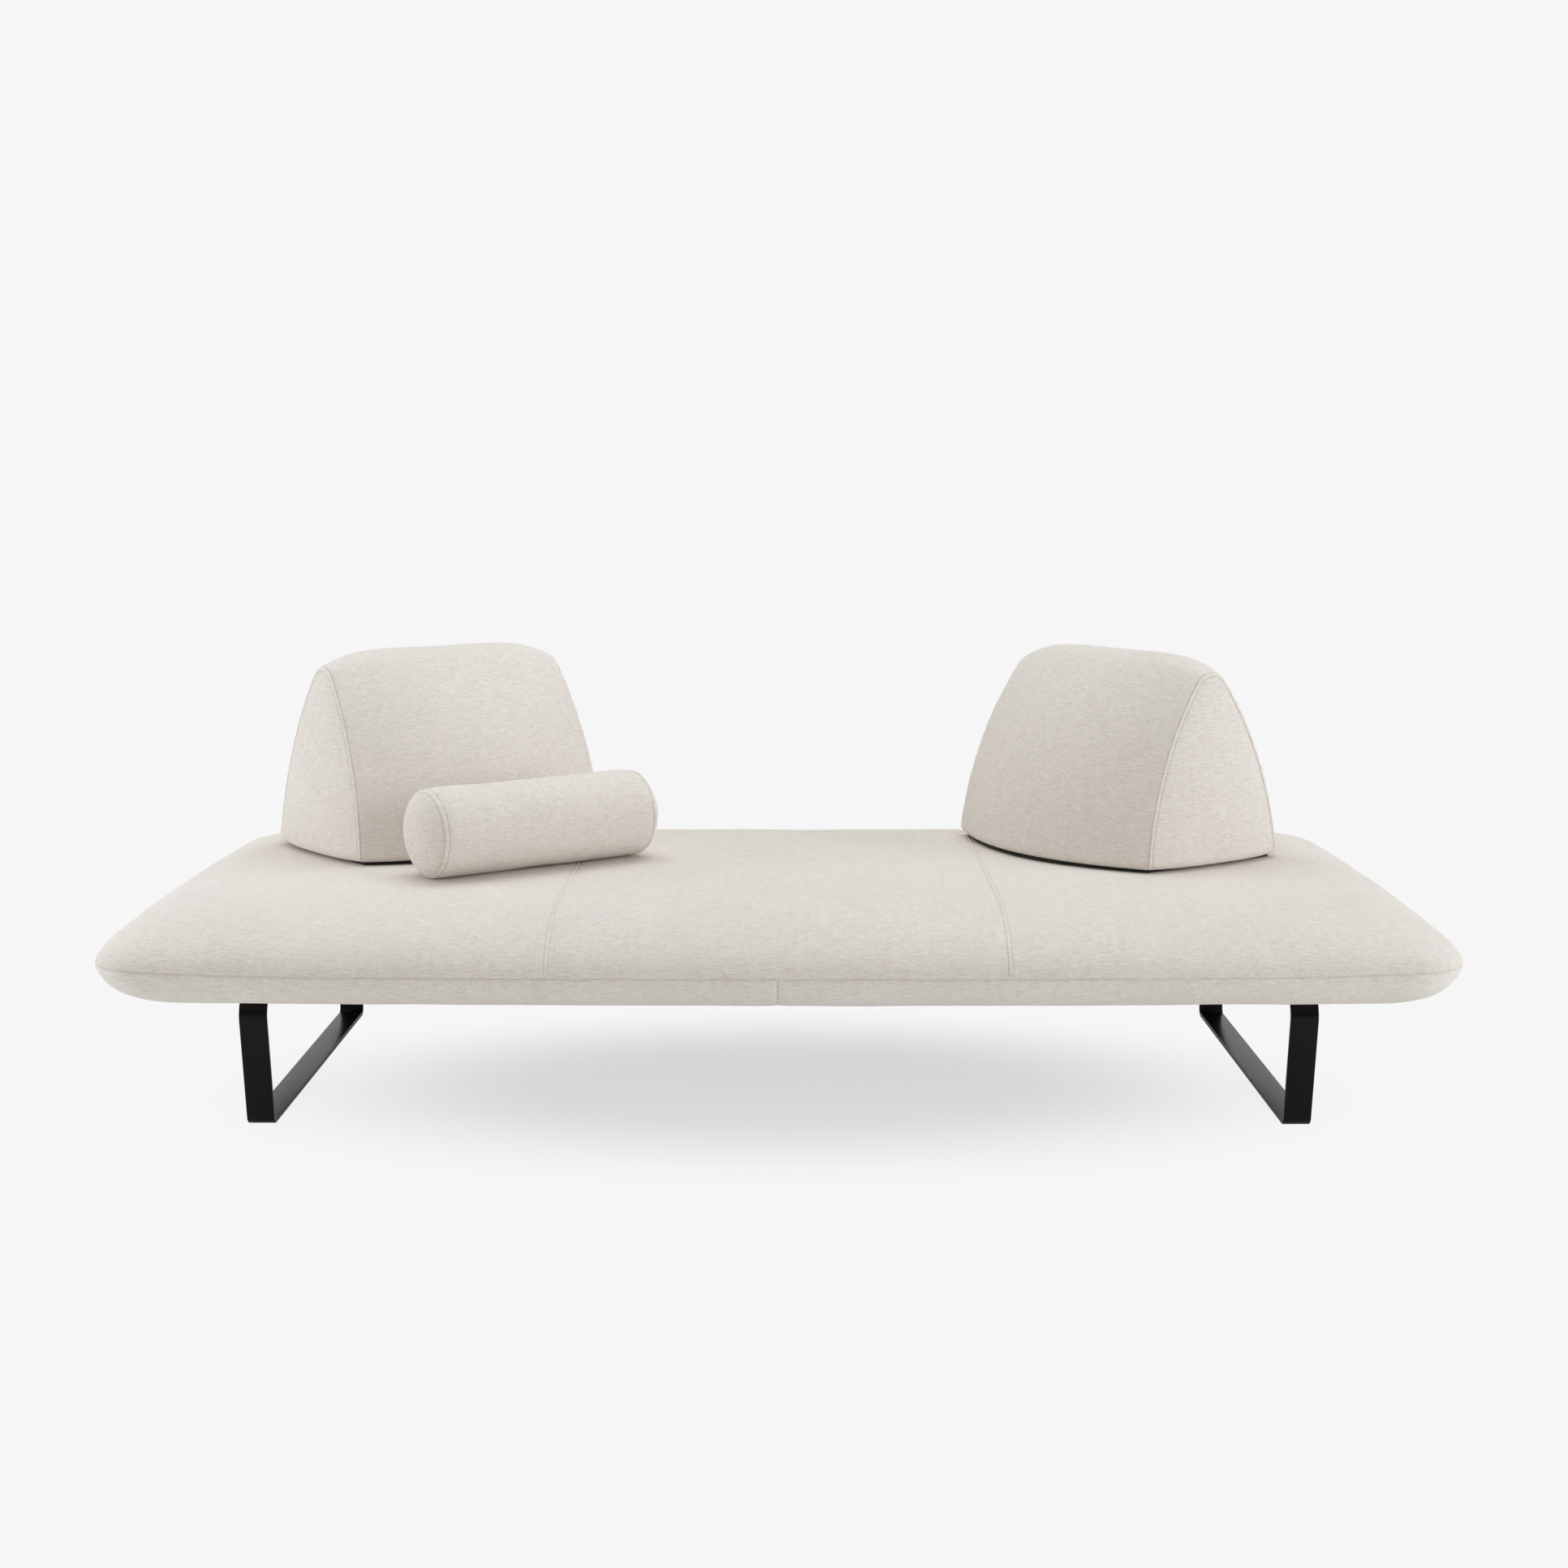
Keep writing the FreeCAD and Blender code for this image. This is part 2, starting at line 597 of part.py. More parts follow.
def backrest(side):
    """One weighted backrest: cover of three panels, foam, base board, ballast and grip pad."""
    spin = FreeCAD.Rotation(FreeCAD.Vector(0, 0, 1), size(side + "_back_yaw"))
    pad = size("pad_thickness")
    base = seat_top + size("rest_gap") + pad
    where = FreeCAD.Placement(
        FreeCAD.Vector(size(side + "_back_x"), size(side + "_back_y"), base), spin)
    name = side + "_backrest_"
    panel = Part.makeLoft([panel_wire(share) for share in SHARES], True, False)
    node(shaped(name + "panel", panel, where), name + "cover")
    node(shaped(name + "side_a", side_panel(-1.0), where), name + "side_left")
    node(shaped(name + "side_b", side_panel(1.0), where), name + "side_right")
    board = size("board_thickness")
    play = size("ballast_play")
    pocket_depth = size("ballast_thickness") + 2 * play
    pocket = Part.makeCylinder(size("ballast_size") / 2 + play, pocket_depth,
                               FreeCAD.Vector(0, 0, board))
    foam = back_form(foam_inset, board).cut(pocket)
    node(shaped(name + "foam_block", foam.Solids[0], where), name + "foam")
    plate = base_outline(cloth + size("board_gap"), 0.0, board)
    node(shaped(name + "board_plate", plate, where), name + "board")
    grip = base_outline(size("pad_inset"), -pad, pad)
    node(shaped(name + "grip_sheet", grip, where), name + "grip_pad")
    weight = doc.addObject("Part::Cylinder", name + "weight")
    weight.setExpression("Radius", linked("ballast_size / 2"))
    weight.setExpression("Height", linked("ballast_thickness"))
    place(weight, side + "_back_x", side + "_back_y",
          SEAM + " + crown_height + rest_gap + pad_thickness + board_thickness + ballast_play")
    node(weight, name + "ballast")


backrest("left")
backrest("right")


# Bolster


def bolster_end(turn):
    """Crowned end panel, flat on the seam plane inside."""
    radius = size("bolster_size") / 2
    face_x = turn * size("bolster_length") / 2
    bulge = turn * size("bolster_bulge")
    ball = (radius ** 2 + bulge ** 2) / (2 * abs(bulge))
    reach = math.asin(radius / ball) / 2
    vec = FreeCAD.Vector
    crest = vec(face_x + bulge, 0, 0)
    rim = vec(face_x, 0, radius)
    middle = vec(face_x + bulge - turn * ball * (1 - math.cos(reach)), 0, ball * math.sin(reach))
    root = vec(face_x, 0, 0)
    wire = Part.Wire([Part.LineSegment(root, rim).toShape(), Part.Arc(rim, middle, crest).toShape(),
                      Part.LineSegment(crest, root).toShape()])
    solid = Part.Face(wire).revolve(vec(0, 0, 0), vec(1, 0, 0), 360)
    return solid


axis_height = seat_top + size("rest_gap") + size("bolster_size") / 2
bolster_where = FreeCAD.Placement(
    FreeCAD.Vector(size("bolster_x"), size("bolster_y"), axis_height),
    FreeCAD.Rotation(FreeCAD.Vector(0, 0, 1), size("bolster_yaw")))
lengthwise = FreeCAD.Vector(1, 0, 0)
half_roll = size("bolster_length") / 2
roll_radius = size("bolster_size") / 2
sleeve = Part.makeCylinder(roll_radius, 2 * half_roll, FreeCAD.Vector(-half_roll, 0, 0), lengthwise)
sleeve = sleeve.cut(Part.makeCylinder(roll_radius - cloth, 4 * half_roll,
                                      FreeCAD.Vector(-2 * half_roll, 0, 0), lengthwise))
node(shaped("bolster_sleeve", sleeve, bolster_where), "bolster_cover")
node(shaped("bolster_cap_a", bolster_end(-1), bolster_where), "bolster_end_left")
node(shaped("bolster_cap_b", bolster_end(1), bolster_where), "bolster_end_right")
slack = size("bolster_slack")
core = Part.makeCylinder(roll_radius - cloth - slack, 2 * (half_roll - slack),
                         FreeCAD.Vector(slack - half_roll, 0, 0), lengthwise)
node(shaped("bolster_filling", core, bolster_where), "bolster_core")


doc.recompute()
for obj in doc.Objects:
    if "Invalid" in obj.State or "Error" in obj.State:
        raise RuntimeError("%s is %s" % (obj.Name, obj.State))
os.makedirs("parts", exist_ok=True)
for obj in NODES:
    if obj.Shape.isNull() or not obj.Shape.isValid():
        raise RuntimeError("%s has no valid shape" % obj.Label)
    obj.Shape.exportStep("parts/%s.step" % obj.Label)
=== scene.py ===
import json
import math

import bmesh
import bpy
import numpy as np
from bpy.props import FloatProperty, FloatVectorProperty, PointerProperty
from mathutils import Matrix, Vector


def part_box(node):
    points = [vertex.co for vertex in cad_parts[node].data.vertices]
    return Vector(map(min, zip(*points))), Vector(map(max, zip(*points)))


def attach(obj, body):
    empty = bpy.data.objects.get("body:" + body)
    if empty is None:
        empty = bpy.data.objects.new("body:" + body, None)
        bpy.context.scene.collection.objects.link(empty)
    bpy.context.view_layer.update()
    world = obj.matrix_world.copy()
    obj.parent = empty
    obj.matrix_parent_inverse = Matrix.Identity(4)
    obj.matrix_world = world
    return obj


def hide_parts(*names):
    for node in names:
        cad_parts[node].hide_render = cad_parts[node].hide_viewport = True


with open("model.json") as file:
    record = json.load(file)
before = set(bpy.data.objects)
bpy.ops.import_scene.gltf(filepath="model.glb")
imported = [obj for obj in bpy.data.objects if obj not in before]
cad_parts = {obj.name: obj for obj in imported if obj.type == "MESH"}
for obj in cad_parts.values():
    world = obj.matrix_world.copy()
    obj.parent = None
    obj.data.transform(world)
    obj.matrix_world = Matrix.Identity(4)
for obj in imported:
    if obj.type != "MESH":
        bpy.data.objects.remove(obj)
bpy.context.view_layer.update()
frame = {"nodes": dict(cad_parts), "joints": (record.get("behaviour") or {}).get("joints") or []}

bl_info = {
    "name": "Outdoor sofa",
    "version": (1, 0, 0),
    "blender": (4, 5, 0),
    "location": "View3D > Sidebar > Sofa",
    "description": "Dresses the packed frame of an outdoor sofa: cushions, legs, fittings, stage",
    "category": "Add Mesh",
}


# Sizes and colours that a user would change


class SofaFabric(bpy.types.PropertyGroup):
    """Cover cloth: a slubbed linen-like weave."""
    ground: FloatVectorProperty(
        name="Ground", description="Main colour of the cloth", subtype="COLOR", size=3,
        min=0.0, max=1.0, default=(0.862, 0.817, 0.762))
    warm: FloatVectorProperty(
        name="Warm thread", description="Tan slubs in the weft", subtype="COLOR", size=3,
        min=0.0, max=1.0, default=(0.642, 0.555, 0.462))
    cool: FloatVectorProperty(
        name="Cool thread", description="Grey slubs in the weft", subtype="COLOR", size=3,
        min=0.0, max=1.0, default=(0.682, 0.668, 0.649))
    pale: FloatVectorProperty(
        name="Pale thread", description="Pale slubs in the weft", subtype="COLOR", size=3,
        min=0.0, max=1.0, default=(0.932, 0.905, 0.868))
    slub_length: FloatProperty(
        name="Slub length", description="Usual length of a slub along the weft", default=0.019,
        min=0.002, max=0.2, unit="LENGTH", precision=4)
    slub_height: FloatProperty(
        name="Slub height", description="Usual height of a slub", default=0.0013,
        min=0.0002, max=0.02, unit="LENGTH", precision=5)
    weave_pitch: FloatProperty(
        name="Weave pitch", description="From thread to thread", default=0.0011,
        min=0.0002, max=0.01, unit="LENGTH", precision=5)


class SofaSeams(bpy.types.PropertyGroup):
    """Sewn seams of the covers."""
    ridge: FloatProperty(
        name="Ridge", description="Width of a felled seam between its two stitch lines",
        default=0.0070, min=0.002, max=0.03, unit="LENGTH", precision=4)
    groove: FloatProperty(
        name="Groove", description="Depth of a seam line", default=0.0011,
        min=0.0, max=0.006, unit="LENGTH", precision=4)
    corner: FloatProperty(
        name="Corner lift", description="How far the seam round the seat rises at a corner",
        default=0.008, min=0.0, max=0.03, unit="LENGTH", precision=4)
    pucker: FloatProperty(
        name="Pucker", description="Ripple of the cloth along a seam", default=0.0006,
        min=0.0, max=0.004, unit="LENGTH", precision=5)
    stitch: FloatProperty(
        name="Stitch", description="Length of a stitch", default=0.0042,
        min=0.001, max=0.02, unit="LENGTH", precision=4)
    stitch_gap: FloatProperty(
        name="Stitch gap", description="From the end of a stitch to the next", default=0.0013,
        min=0.0002, max=0.01, unit="LENGTH", precision=4)
    thread: FloatProperty(
        name="Thread", description="Thickness of the sewing thread", default=0.0007,
        min=0.0002, max=0.003, unit="LENGTH", precision=5)
    swell: FloatProperty(
        name="Swell", description="Most that a cover panel may swell between its seams",
        default=0.006, min=0.0, max=0.03, unit="LENGTH", precision=4)


class SofaLegs(bpy.types.PropertyGroup):
    """Sled legs and what holds them."""
    coat: FloatVectorProperty(
        name="Coat", description="Powder coat of the legs", subtype="COLOR", size=3,
        min=0.0, max=1.0, default=(0.0036, 0.0033, 0.0029))
    edge: FloatProperty(
        name="Edge", description="Round of the flat bar's long edges", default=0.0014,
        min=0.0, max=0.003, unit="LENGTH", precision=4)
    staple_pitch: FloatProperty(
        name="Staple pitch", description="From staple to staple round the underside",
        default=0.055, min=0.02, max=0.3, unit="LENGTH")


class SofaStage(bpy.types.PropertyGroup):
    """Floor, light and camera."""
    floor: FloatVectorProperty(
        name="Floor", description="Colour of the floor", subtype="COLOR", size=3,
        min=0.0, max=1.0, default=(0.905, 0.905, 0.905))
    backdrop: FloatProperty(
        name="Backdrop", description="Level of the pale background, 1 is white", default=0.922,
        min=0.0, max=1.0)
    ambient: FloatProperty(
        name="Ambient", description="Light from all round", default=0.386, min=0.0, max=3.0)
    overhead: FloatProperty(
        name="Overhead", description="Soft light above the seat", default=108.0,
        min=0.0, max=1000.0, unit="POWER")
    side: FloatProperty(
        name="Sides", description="Soft light from the left; the right has a set share of it",
        default=19.0,
        min=0.0, max=1000.0, unit="POWER")
    lens: FloatProperty(
        name="Lens", description="Focal length on a 36 mm sensor", default=49.379,
        min=10.0, max=300.0, unit="CAMERA")


# Meshes


class Skin:
    """Collects welded grids of points into one mesh with a UV map in metres."""

    def __init__(self):
        self.blocks = []
        self.seams = []
        self.count = 0
        self.faces = []
        self.uvs = []

    def points(self, co, seam=0.0):
        """Adds points, each with its seam value, the painted shade and highlight along seams, and gives
        their ids.
        """
        co = np.asarray(co, float)
        flat = co.reshape(-1, 3)
        ids = np.arange(self.count, self.count + len(flat)).reshape(co.shape[:-1])
        self.blocks.append(flat)
        self.seams.append(np.broadcast_to(seam, co.shape[:-1]).ravel())
        self.count += len(flat)
        return ids

    def grid(self, ids, uv):
        """Quads between rows and columns of ids; a corner used twice leaves a triangle."""
        quad = np.stack([ids[:-1, :-1], ids[:-1, 1:], ids[1:, 1:], ids[1:, :-1]], -1).reshape(-1, 4)
        spot = np.stack([uv[:-1, :-1], uv[:-1, 1:], uv[1:, 1:], uv[1:, :-1]], -2).reshape(-1, 4, 2)
        plain = np.ones(len(quad), bool)
        for i in range(4):
            plain &= quad[:, i] != quad[:, (i + 1) % 4]
        for corners, places, whole in zip(quad.tolist(), spot.tolist(), plain.tolist()):
            if whole:
                self.faces.append(corners)
                self.uvs.extend(places)
                continue
            kept = [i for i in range(4) if corners[i] != corners[i - 1]]
            if len(kept) > 2:
                self.faces.append([corners[i] for i in kept])
                self.uvs.extend(places[i] for i in kept)

    def co(self):
        return np.concatenate(self.blocks)

    def mesh(self, name, co=None):
        mesh = bpy.data.meshes.new(name)
        mesh.from_pydata((self.co() if co is None else co).tolist(), [], self.faces)
        layer = mesh.uv_layers.new(name="weave")
        layer.data.foreach_set("uv", np.asarray(self.uvs, np.float32).ravel())
        face_outward(mesh)
        # The seam attribute: painted shade along seams and stitch lines, and a painted highlight on seam
        # ridges where it is negative.
        shade = mesh.attributes.new("seam", "FLOAT", "POINT")
        shade.data.foreach_set("value", np.concatenate(self.seams).astype(np.float32))
        mesh.polygons.foreach_set("use_smooth", [True] * len(mesh.polygons))
        mesh.update()
        return mesh


def face_outward(mesh):
    work = bmesh.new()
    work.from_mesh(mesh)
    bmesh.ops.recalc_face_normals(work, faces=work.faces)
    work.to_mesh(mesh)
    work.free()


def wrap(grid):
    """A grid with its first column again at its end, to close it round."""
    return np.concatenate([grid, grid[:, :1]], 1)


def level(ring, z):
    """A plan outline at one height."""
    return np.column_stack([ring, np.full(len(ring), z)])


def tube(rows):
    """A skin through rings of points, closed at both ends with a fan."""
    skin = Skin()
    ids = skin.points(rows)
    ends = skin.points(np.array([rows[0].mean(0), rows[-1].mean(0)]))
    fans = [np.full((1, ids.shape[1]), end) for end in ends]
    whole = wrap(np.concatenate([fans[0], ids, fans[1]]))
    skin.grid(whole, np.zeros(whole.shape + (2,)))
    return skin


def place(mesh, material, body, replaced=()):
    """Makes a finished piece of a mesh: on its body, with its finish, for its CAD nodes."""
    piece = bpy.data.objects.new(mesh.name, mesh)
    bpy.context.scene.collection.objects.link(piece)
    mesh.materials.clear()
    mesh.materials.append(material)
    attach(piece, body)
    if replaced:
        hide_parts(*replaced)
    return piece


def unit(v):
    return v / np.maximum(np.linalg.norm(v, axis=-1, keepdims=True), 1e-12)


def grid_normals(co, closed=False):
    """Normals of a grid of points from its own rows and columns."""
    down = np.gradient(co, axis=0)
    if closed:
        along = np.roll(co, -1, 1) - np.roll(co, 1, 1)
    else:
        along = np.gradient(co, axis=1)
    return unit(np.cross(along, down))


def ripple(x, y, length, seed):
    """Smooth unevenness about 0, from waves of about one length in seeded directions."""
    waves = 7
    rng = np.random.default_rng(seed)
    total = np.zeros(np.broadcast(x, y).shape)
    for _ in range(waves):
        turn = rng.uniform(0, math.tau)
        pitch = math.tau / (length * rng.uniform(0.7, 1.6))
        total += np.sin((x * math.cos(turn) + y * math.sin(turn)) * pitch + rng.uniform(0, math.tau))
    return total / math.sqrt(waves)


def bump(e, width):
    """1 where e is 0, falling off to both sides."""
    return np.exp(-(e / width) ** 2)


def step(low, high, e):
    """0 up to low, 1 from high on, smooth between."""
    t = np.clip((e - low) / (high - low), 0.0, 1.0)
    return t * t * (3.0 - 2.0 * t)


def smooth_resample(values, have, want):
    """Cubic interpolation of values along axis 0 from one set of places to another."""
    have = np.asarray(have, float)
    want = np.clip(np.asarray(want, float), have[0], have[-1])
    slope = np.gradient(values, have, axis=0)
    i = np.clip(np.searchsorted(have, want) - 1, 0, len(have) - 2)
    h = have[i + 1] - have[i]
    t = (want - have[i]) / h
    shape = (-1,) + (1,) * (values.ndim - 1)
    t = t.reshape(shape)
    h = h.reshape(shape)
    return ((1 + 2 * t) * (1 - t) ** 2 * values[i] + t * (1 - t) ** 2 * h * slope[i]
            + t * t * (3 - 2 * t) * values[i + 1] + t * t * (t - 1) * h * slope[i + 1])


def resample_grid(values, have, want):
    """Cubic interpolation of a grid from one pair of row and column places to another."""
    for places, wanted in zip(have, want):
        values = smooth_resample(values, places, wanted).T
    return values


def run_length(co, axis=0):
    """Length along a grid's rows from the first one."""
    hop = np.linalg.norm(np.diff(co, axis=axis), axis=-1)
    start = np.zeros_like(np.take(hop, [0], axis=axis))
    return np.concatenate([start, np.cumsum(hop, axis=axis)], axis=axis)


def both_ways(values):
    """Values from 0 up, with their negatives before them."""
    values = np.asarray(values, float)
    return np.concatenate([-values[:0:-1], values])


# Materials


def shader_group(name, inputs, outputs):
    tree = bpy.data.node_groups.new(name, "ShaderNodeTree")
    for label, kind in inputs:
        tree.interface.new_socket(label, in_out="INPUT", socket_type="NodeSocket" + kind)
    for label, kind in outputs:
        tree.interface.new_socket(label, in_out="OUTPUT", socket_type="NodeSocket" + kind)
    return tree, tree.nodes.new("NodeGroupInput"), tree.nodes.new("NodeGroupOutput")


class Wires:
    """Short forms for the nodes that the groups and materials use."""

    def __init__(self, tree):
        self.tree = tree

    def new(self, kind, **settings):
        made = self.tree.nodes.new("ShaderNode" + kind)
        for key, value in settings.items():
            setattr(made, key, value)
        return made

    def join(self, source, target):
        self.tree.links.new(source, target)

    def feed(self, socket, value):
        if hasattr(value, "is_output"):
            self.join(value, socket)
        else:
            socket.default_value = value

    def math(self, operation, a, b=0.0, c=0.0):
        made = self.new("Math", operation=operation)
        for socket, value in zip(made.inputs, (a, b, c)):
            self.feed(socket, value)
        return made.outputs[0]

    def span(self, value, low, high, to_low, to_high, smooth=True):
        made = self.new("MapRange", interpolation_type="SMOOTHSTEP" if smooth else "LINEAR")
        for key, number in (("Value", value), ("From Min", low), ("From Max", high),
                            ("To Min", to_low), ("To Max", to_high)):
            self.feed(made.inputs[key], number)
        return made.outputs["Result"]

    def mix(self, factor, a, b, blend="MIX"):
        made = self.new("Mix", data_type="RGBA", blend_type=blend)
        self.feed(made.inputs["Factor"], factor)
        self.feed(made.inputs[6], a)  # 6, 7 and 2 are the colour sockets
        self.feed(made.inputs[7], b)
        return made.outputs[2]

    def blend(self, factor, a, b, out):
        """Joins two shaders, mixed by a factor, to an output node."""
        made = self.new("MixShader")
        self.join(factor, made.inputs[0])
        self.join(a.outputs[0], made.inputs[1])
        self.join(b.outputs[0], made.inputs[2])
        self.join(made.outputs[0], out.inputs["Surface"])

    def toned(self, colour, tone):
        return self.mix(1.0, colour, self.vector(tone, tone, tone), "MULTIPLY")

    def vector(self, x, y, z):
        made = self.new("CombineXYZ")
        for socket, value in zip(made.inputs, (x, y, z)):
            self.feed(socket, value)
        return made.outputs[0]

    def noise(self, where, scale, detail, rough):
        made = self.new("TexNoise")
        self.feed(made.inputs["Vector"], where)
        made.inputs["Scale"].default_value = scale
        made.inputs["Detail"].default_value = detail
        made.inputs["Roughness"].default_value = rough
        return made.outputs[0]


def weave_group():
    """Slubbed plain weave on a UV map in metres, the weft along U."""
    tree, given, out = shader_group(
        "slub_weave",
        (("UV", "Vector"), ("Ground", "Color"), ("Warm", "Color"), ("Cool", "Color"),
         ("Pale", "Color"), ("Slub Length", "Float"), ("Slub Height", "Float"),
         ("Weave Pitch", "Float"), ("Seam", "Float")),
        (("Color", "Color"), ("Roughness", "Float"), ("Height", "Float")))
    w = Wires(tree)
    split = w.new("SeparateXYZ")
    w.join(given.outputs["UV"], split.inputs[0])
    u, v = split.outputs[0], split.outputs[1]
    along = w.math("DIVIDE", u, given.outputs["Slub Length"])
    across = w.math("DIVIDE", v, given.outputs["Slub Height"])

    def slubs(stretch, squeeze, seed):
        return w.noise(w.vector(w.math("MULTIPLY", along, stretch),
                                w.math("MULTIPLY", across, squeeze), seed), 1.0, 2.0, 0.6)

    long_slubs = slubs(0.45, 0.55, 3.1)
    fine_slubs = slubs(1.6, 1.25, 11.7)
    grey_slubs = slubs(1.0, 0.9, 23.3)
    pale_slubs = slubs(0.8, 0.75, 41.9)
    warp = w.noise(w.vector(w.math("MULTIPLY", across, 0.02),
                            w.math("MULTIPLY", along, 14.0), 5.5), 1.0, 1.0, 0.5)
    colour = given.outputs["Ground"]
    for thread, slub, low, high, share in (  # where its slubs start, are full, and how full
            ("Warm", fine_slubs, 0.46, 0.70, 0.66), ("Cool", grey_slubs, 0.48, 0.72, 0.62),
            ("Pale", pale_slubs, 0.49, 0.72, 0.80), ("Warm", long_slubs, 0.52, 0.76, 0.36)):
        colour = w.mix(w.span(slub, low, high, 0.0, share), colour, given.outputs[thread])
    cloud = w.noise(given.outputs["UV"], 5.0, 2.0, 0.5)
    speck = w.noise(w.vector(w.math("MULTIPLY", u, 420.0), w.math("MULTIPLY", v, 480.0), 7.7),
                    1.0, 2.0, 0.7)
    tone = w.math("ADD", w.span(warp, 0.3, 0.7, -0.02, 0.02), w.span(speck, 0.25, 0.75, -0.06, 0.06))
    tone = w.math("ADD", w.span(cloud, 0.3, 0.7, 0.985, 1.010), tone)
    # Darker along seams: painted shade, and at the stitch lines partly their own darker tone; negative
    # values paint a highlight on the ridges.
    tone = w.math("MULTIPLY", tone, w.math("MULTIPLY_ADD", given.outputs["Seam"], -0.17, 1.0))
    colour = w.toned(colour, tone)
    turns = w.math("DIVIDE", math.tau, given.outputs["Weave Pitch"])
    over = w.math("MULTIPLY", w.math("SINE", w.math("MULTIPLY", u, turns)),
                  w.math("SINE", w.math("MULTIPLY", v, turns)))
    # Painted shade in the hollows of the weave, where the threads dip.
    shade = w.math("MULTIPLY_ADD", over, 0.035, 0.985)
    colour = w.toned(colour, shade)
    height = w.math("MULTIPLY_ADD", over, 0.28,
                    w.math("MULTIPLY_ADD", fine_slubs, 0.5, w.math("MULTIPLY", grey_slubs, 0.4)))
    w.join(colour, out.inputs["Color"])
    w.join(w.span(fine_slubs, 0.3, 0.7, 0.94, 0.84, False), out.inputs["Roughness"])
    w.join(height, out.inputs["Height"])
    return tree


def grain_group():
    """Fine unevenness of a coated, cast or rolled surface."""
    tree, given, out = shader_group(
        "surface_grain",
        (("Vector", "Vector"), ("Base", "Color"), ("Grain", "Float"), ("Patch", "Float"),
         ("Roughness", "Float"), ("Spread", "Float"), ("Tint", "Float")),
        (("Color", "Color"), ("Roughness", "Float"), ("Height", "Float")))
    w = Wires(tree)
    grain = w.new("TexNoise")
    patch = w.new("TexNoise")
    for made, scale, detail in ((grain, "Grain", 3.0), (patch, "Patch", 4.0)):
        w.join(given.outputs["Vector"], made.inputs["Vector"])
        w.join(given.outputs[scale], made.inputs["Scale"])
        made.inputs["Detail"].default_value = detail
    swing = w.math("SUBTRACT", patch.outputs[0], 0.5)
    rough = w.math("MULTIPLY_ADD", swing, given.outputs["Spread"], given.outputs["Roughness"])
    tone = w.math("MULTIPLY_ADD", swing, given.outputs["Tint"], 1.0)
    fleck = w.math("MULTIPLY_ADD", w.math("SUBTRACT", grain.outputs[0], 0.5),
                   given.outputs["Tint"], tone)
    w.join(w.toned(given.outputs["Base"], fleck), out.inputs["Color"])
    w.join(rough, out.inputs["Roughness"])
    w.join(grain.outputs[0], out.inputs["Height"])
    return tree


GROUPS = {}  # node groups and trees made so far
FINISHES = {}  # materials made so far


def shared(name, maker):
    """A node group or tree, made the first time it is asked for."""
    if name not in GROUPS:
        GROUPS[name] = maker()
    return GROUPS[name]


def blank_material(name):
    material = bpy.data.materials.new(name)
    material.use_nodes = True
    tree = material.node_tree
    shader = next(n for n in tree.nodes if n.type == "BSDF_PRINCIPLED")
    FINISHES[name] = material
    return material, Wires(tree), shader


def finish_with(w, shader, group, height, depth):
    """Joins a group's colour, roughness and height to a shader."""
    w.join(group.outputs["Color"], shader.inputs["Base Color"])
    w.join(group.outputs["Roughness"], shader.inputs["Roughness"])
    relief = w.new("Bump")
    relief.inputs["Strength"].default_value = depth
    relief.inputs["Distance"].default_value = height
    w.join(group.outputs["Height"], relief.inputs["Height"])
    w.join(relief.outputs[0], shader.inputs["Normal"])


def cloth_finish(name):
    """Cover cloth on the UV map, with painted shade along its seams and a painted highlight on their
    ridges.
    """
    fabric = bpy.context.scene.sofa_fabric
    material, w, shader = blank_material(name)
    group = w.new("Group", node_tree=shared("weave", weave_group))
    spot = w.new("UVMap", uv_map="weave")
    w.join(spot.outputs[0], group.inputs["UV"])
    for label, value in (("Ground", fabric.ground), ("Warm", fabric.warm), ("Cool", fabric.cool),
                         ("Pale", fabric.pale)):
        group.inputs[label].default_value = tuple(value) + (1.0,)
    # The seam attribute carries the painted seam shade and highlight.
    shade = w.new("Attribute", attribute_name="seam")
    w.join(shade.outputs["Fac"], group.inputs["Seam"])
    group.inputs["Slub Length"].default_value = fabric.slub_length
    group.inputs["Slub Height"].default_value = fabric.slub_height
    group.inputs["Weave Pitch"].default_value = fabric.weave_pitch
    finish_with(w, shader, group, height=0.0005, depth=0.55)
    shader.inputs["Specular IOR Level"].default_value = 0.25
    shader.inputs["Sheen Weight"].default_value = 0.12
    shader.inputs["Sheen Roughness"].default_value = 0.55
    return material


def grain_finish(name, colour, roughness, spread, grain, patch, tint, metallic=0.0,
                 height=0.0002, depth=0.25, specular=0.5, stretch=(1, 1, 1)):
    """A coated, cast or rolled surface; grain and patch are how often they come in a metre."""
    material, w, shader = blank_material(name)
    group = w.new("Group", node_tree=shared("grain", grain_group))
    spot = w.new("TexCoord")
    turned = w.new("Mapping")
    turned.inputs["Scale"].default_value = stretch
    w.join(spot.outputs["Object"], turned.inputs["Vector"])
    w.join(turned.outputs[0], group.inputs["Vector"])
    group.inputs["Base"].default_value = tuple(colour) + (1.0,)
    for label, value in (("Grain", grain), ("Patch", patch), ("Roughness", roughness),
                         ("Spread", spread), ("Tint", tint)):
        group.inputs[label].default_value = value
    finish_with(w, shader, group, height, depth)
    shader.inputs["Metallic"].default_value = metallic
    shader.inputs["Specular IOR Level"].default_value = specular
    return material


def finish(name):
    return FINISHES[name]


# Seat: sizes of its solids and of its seams, in metres


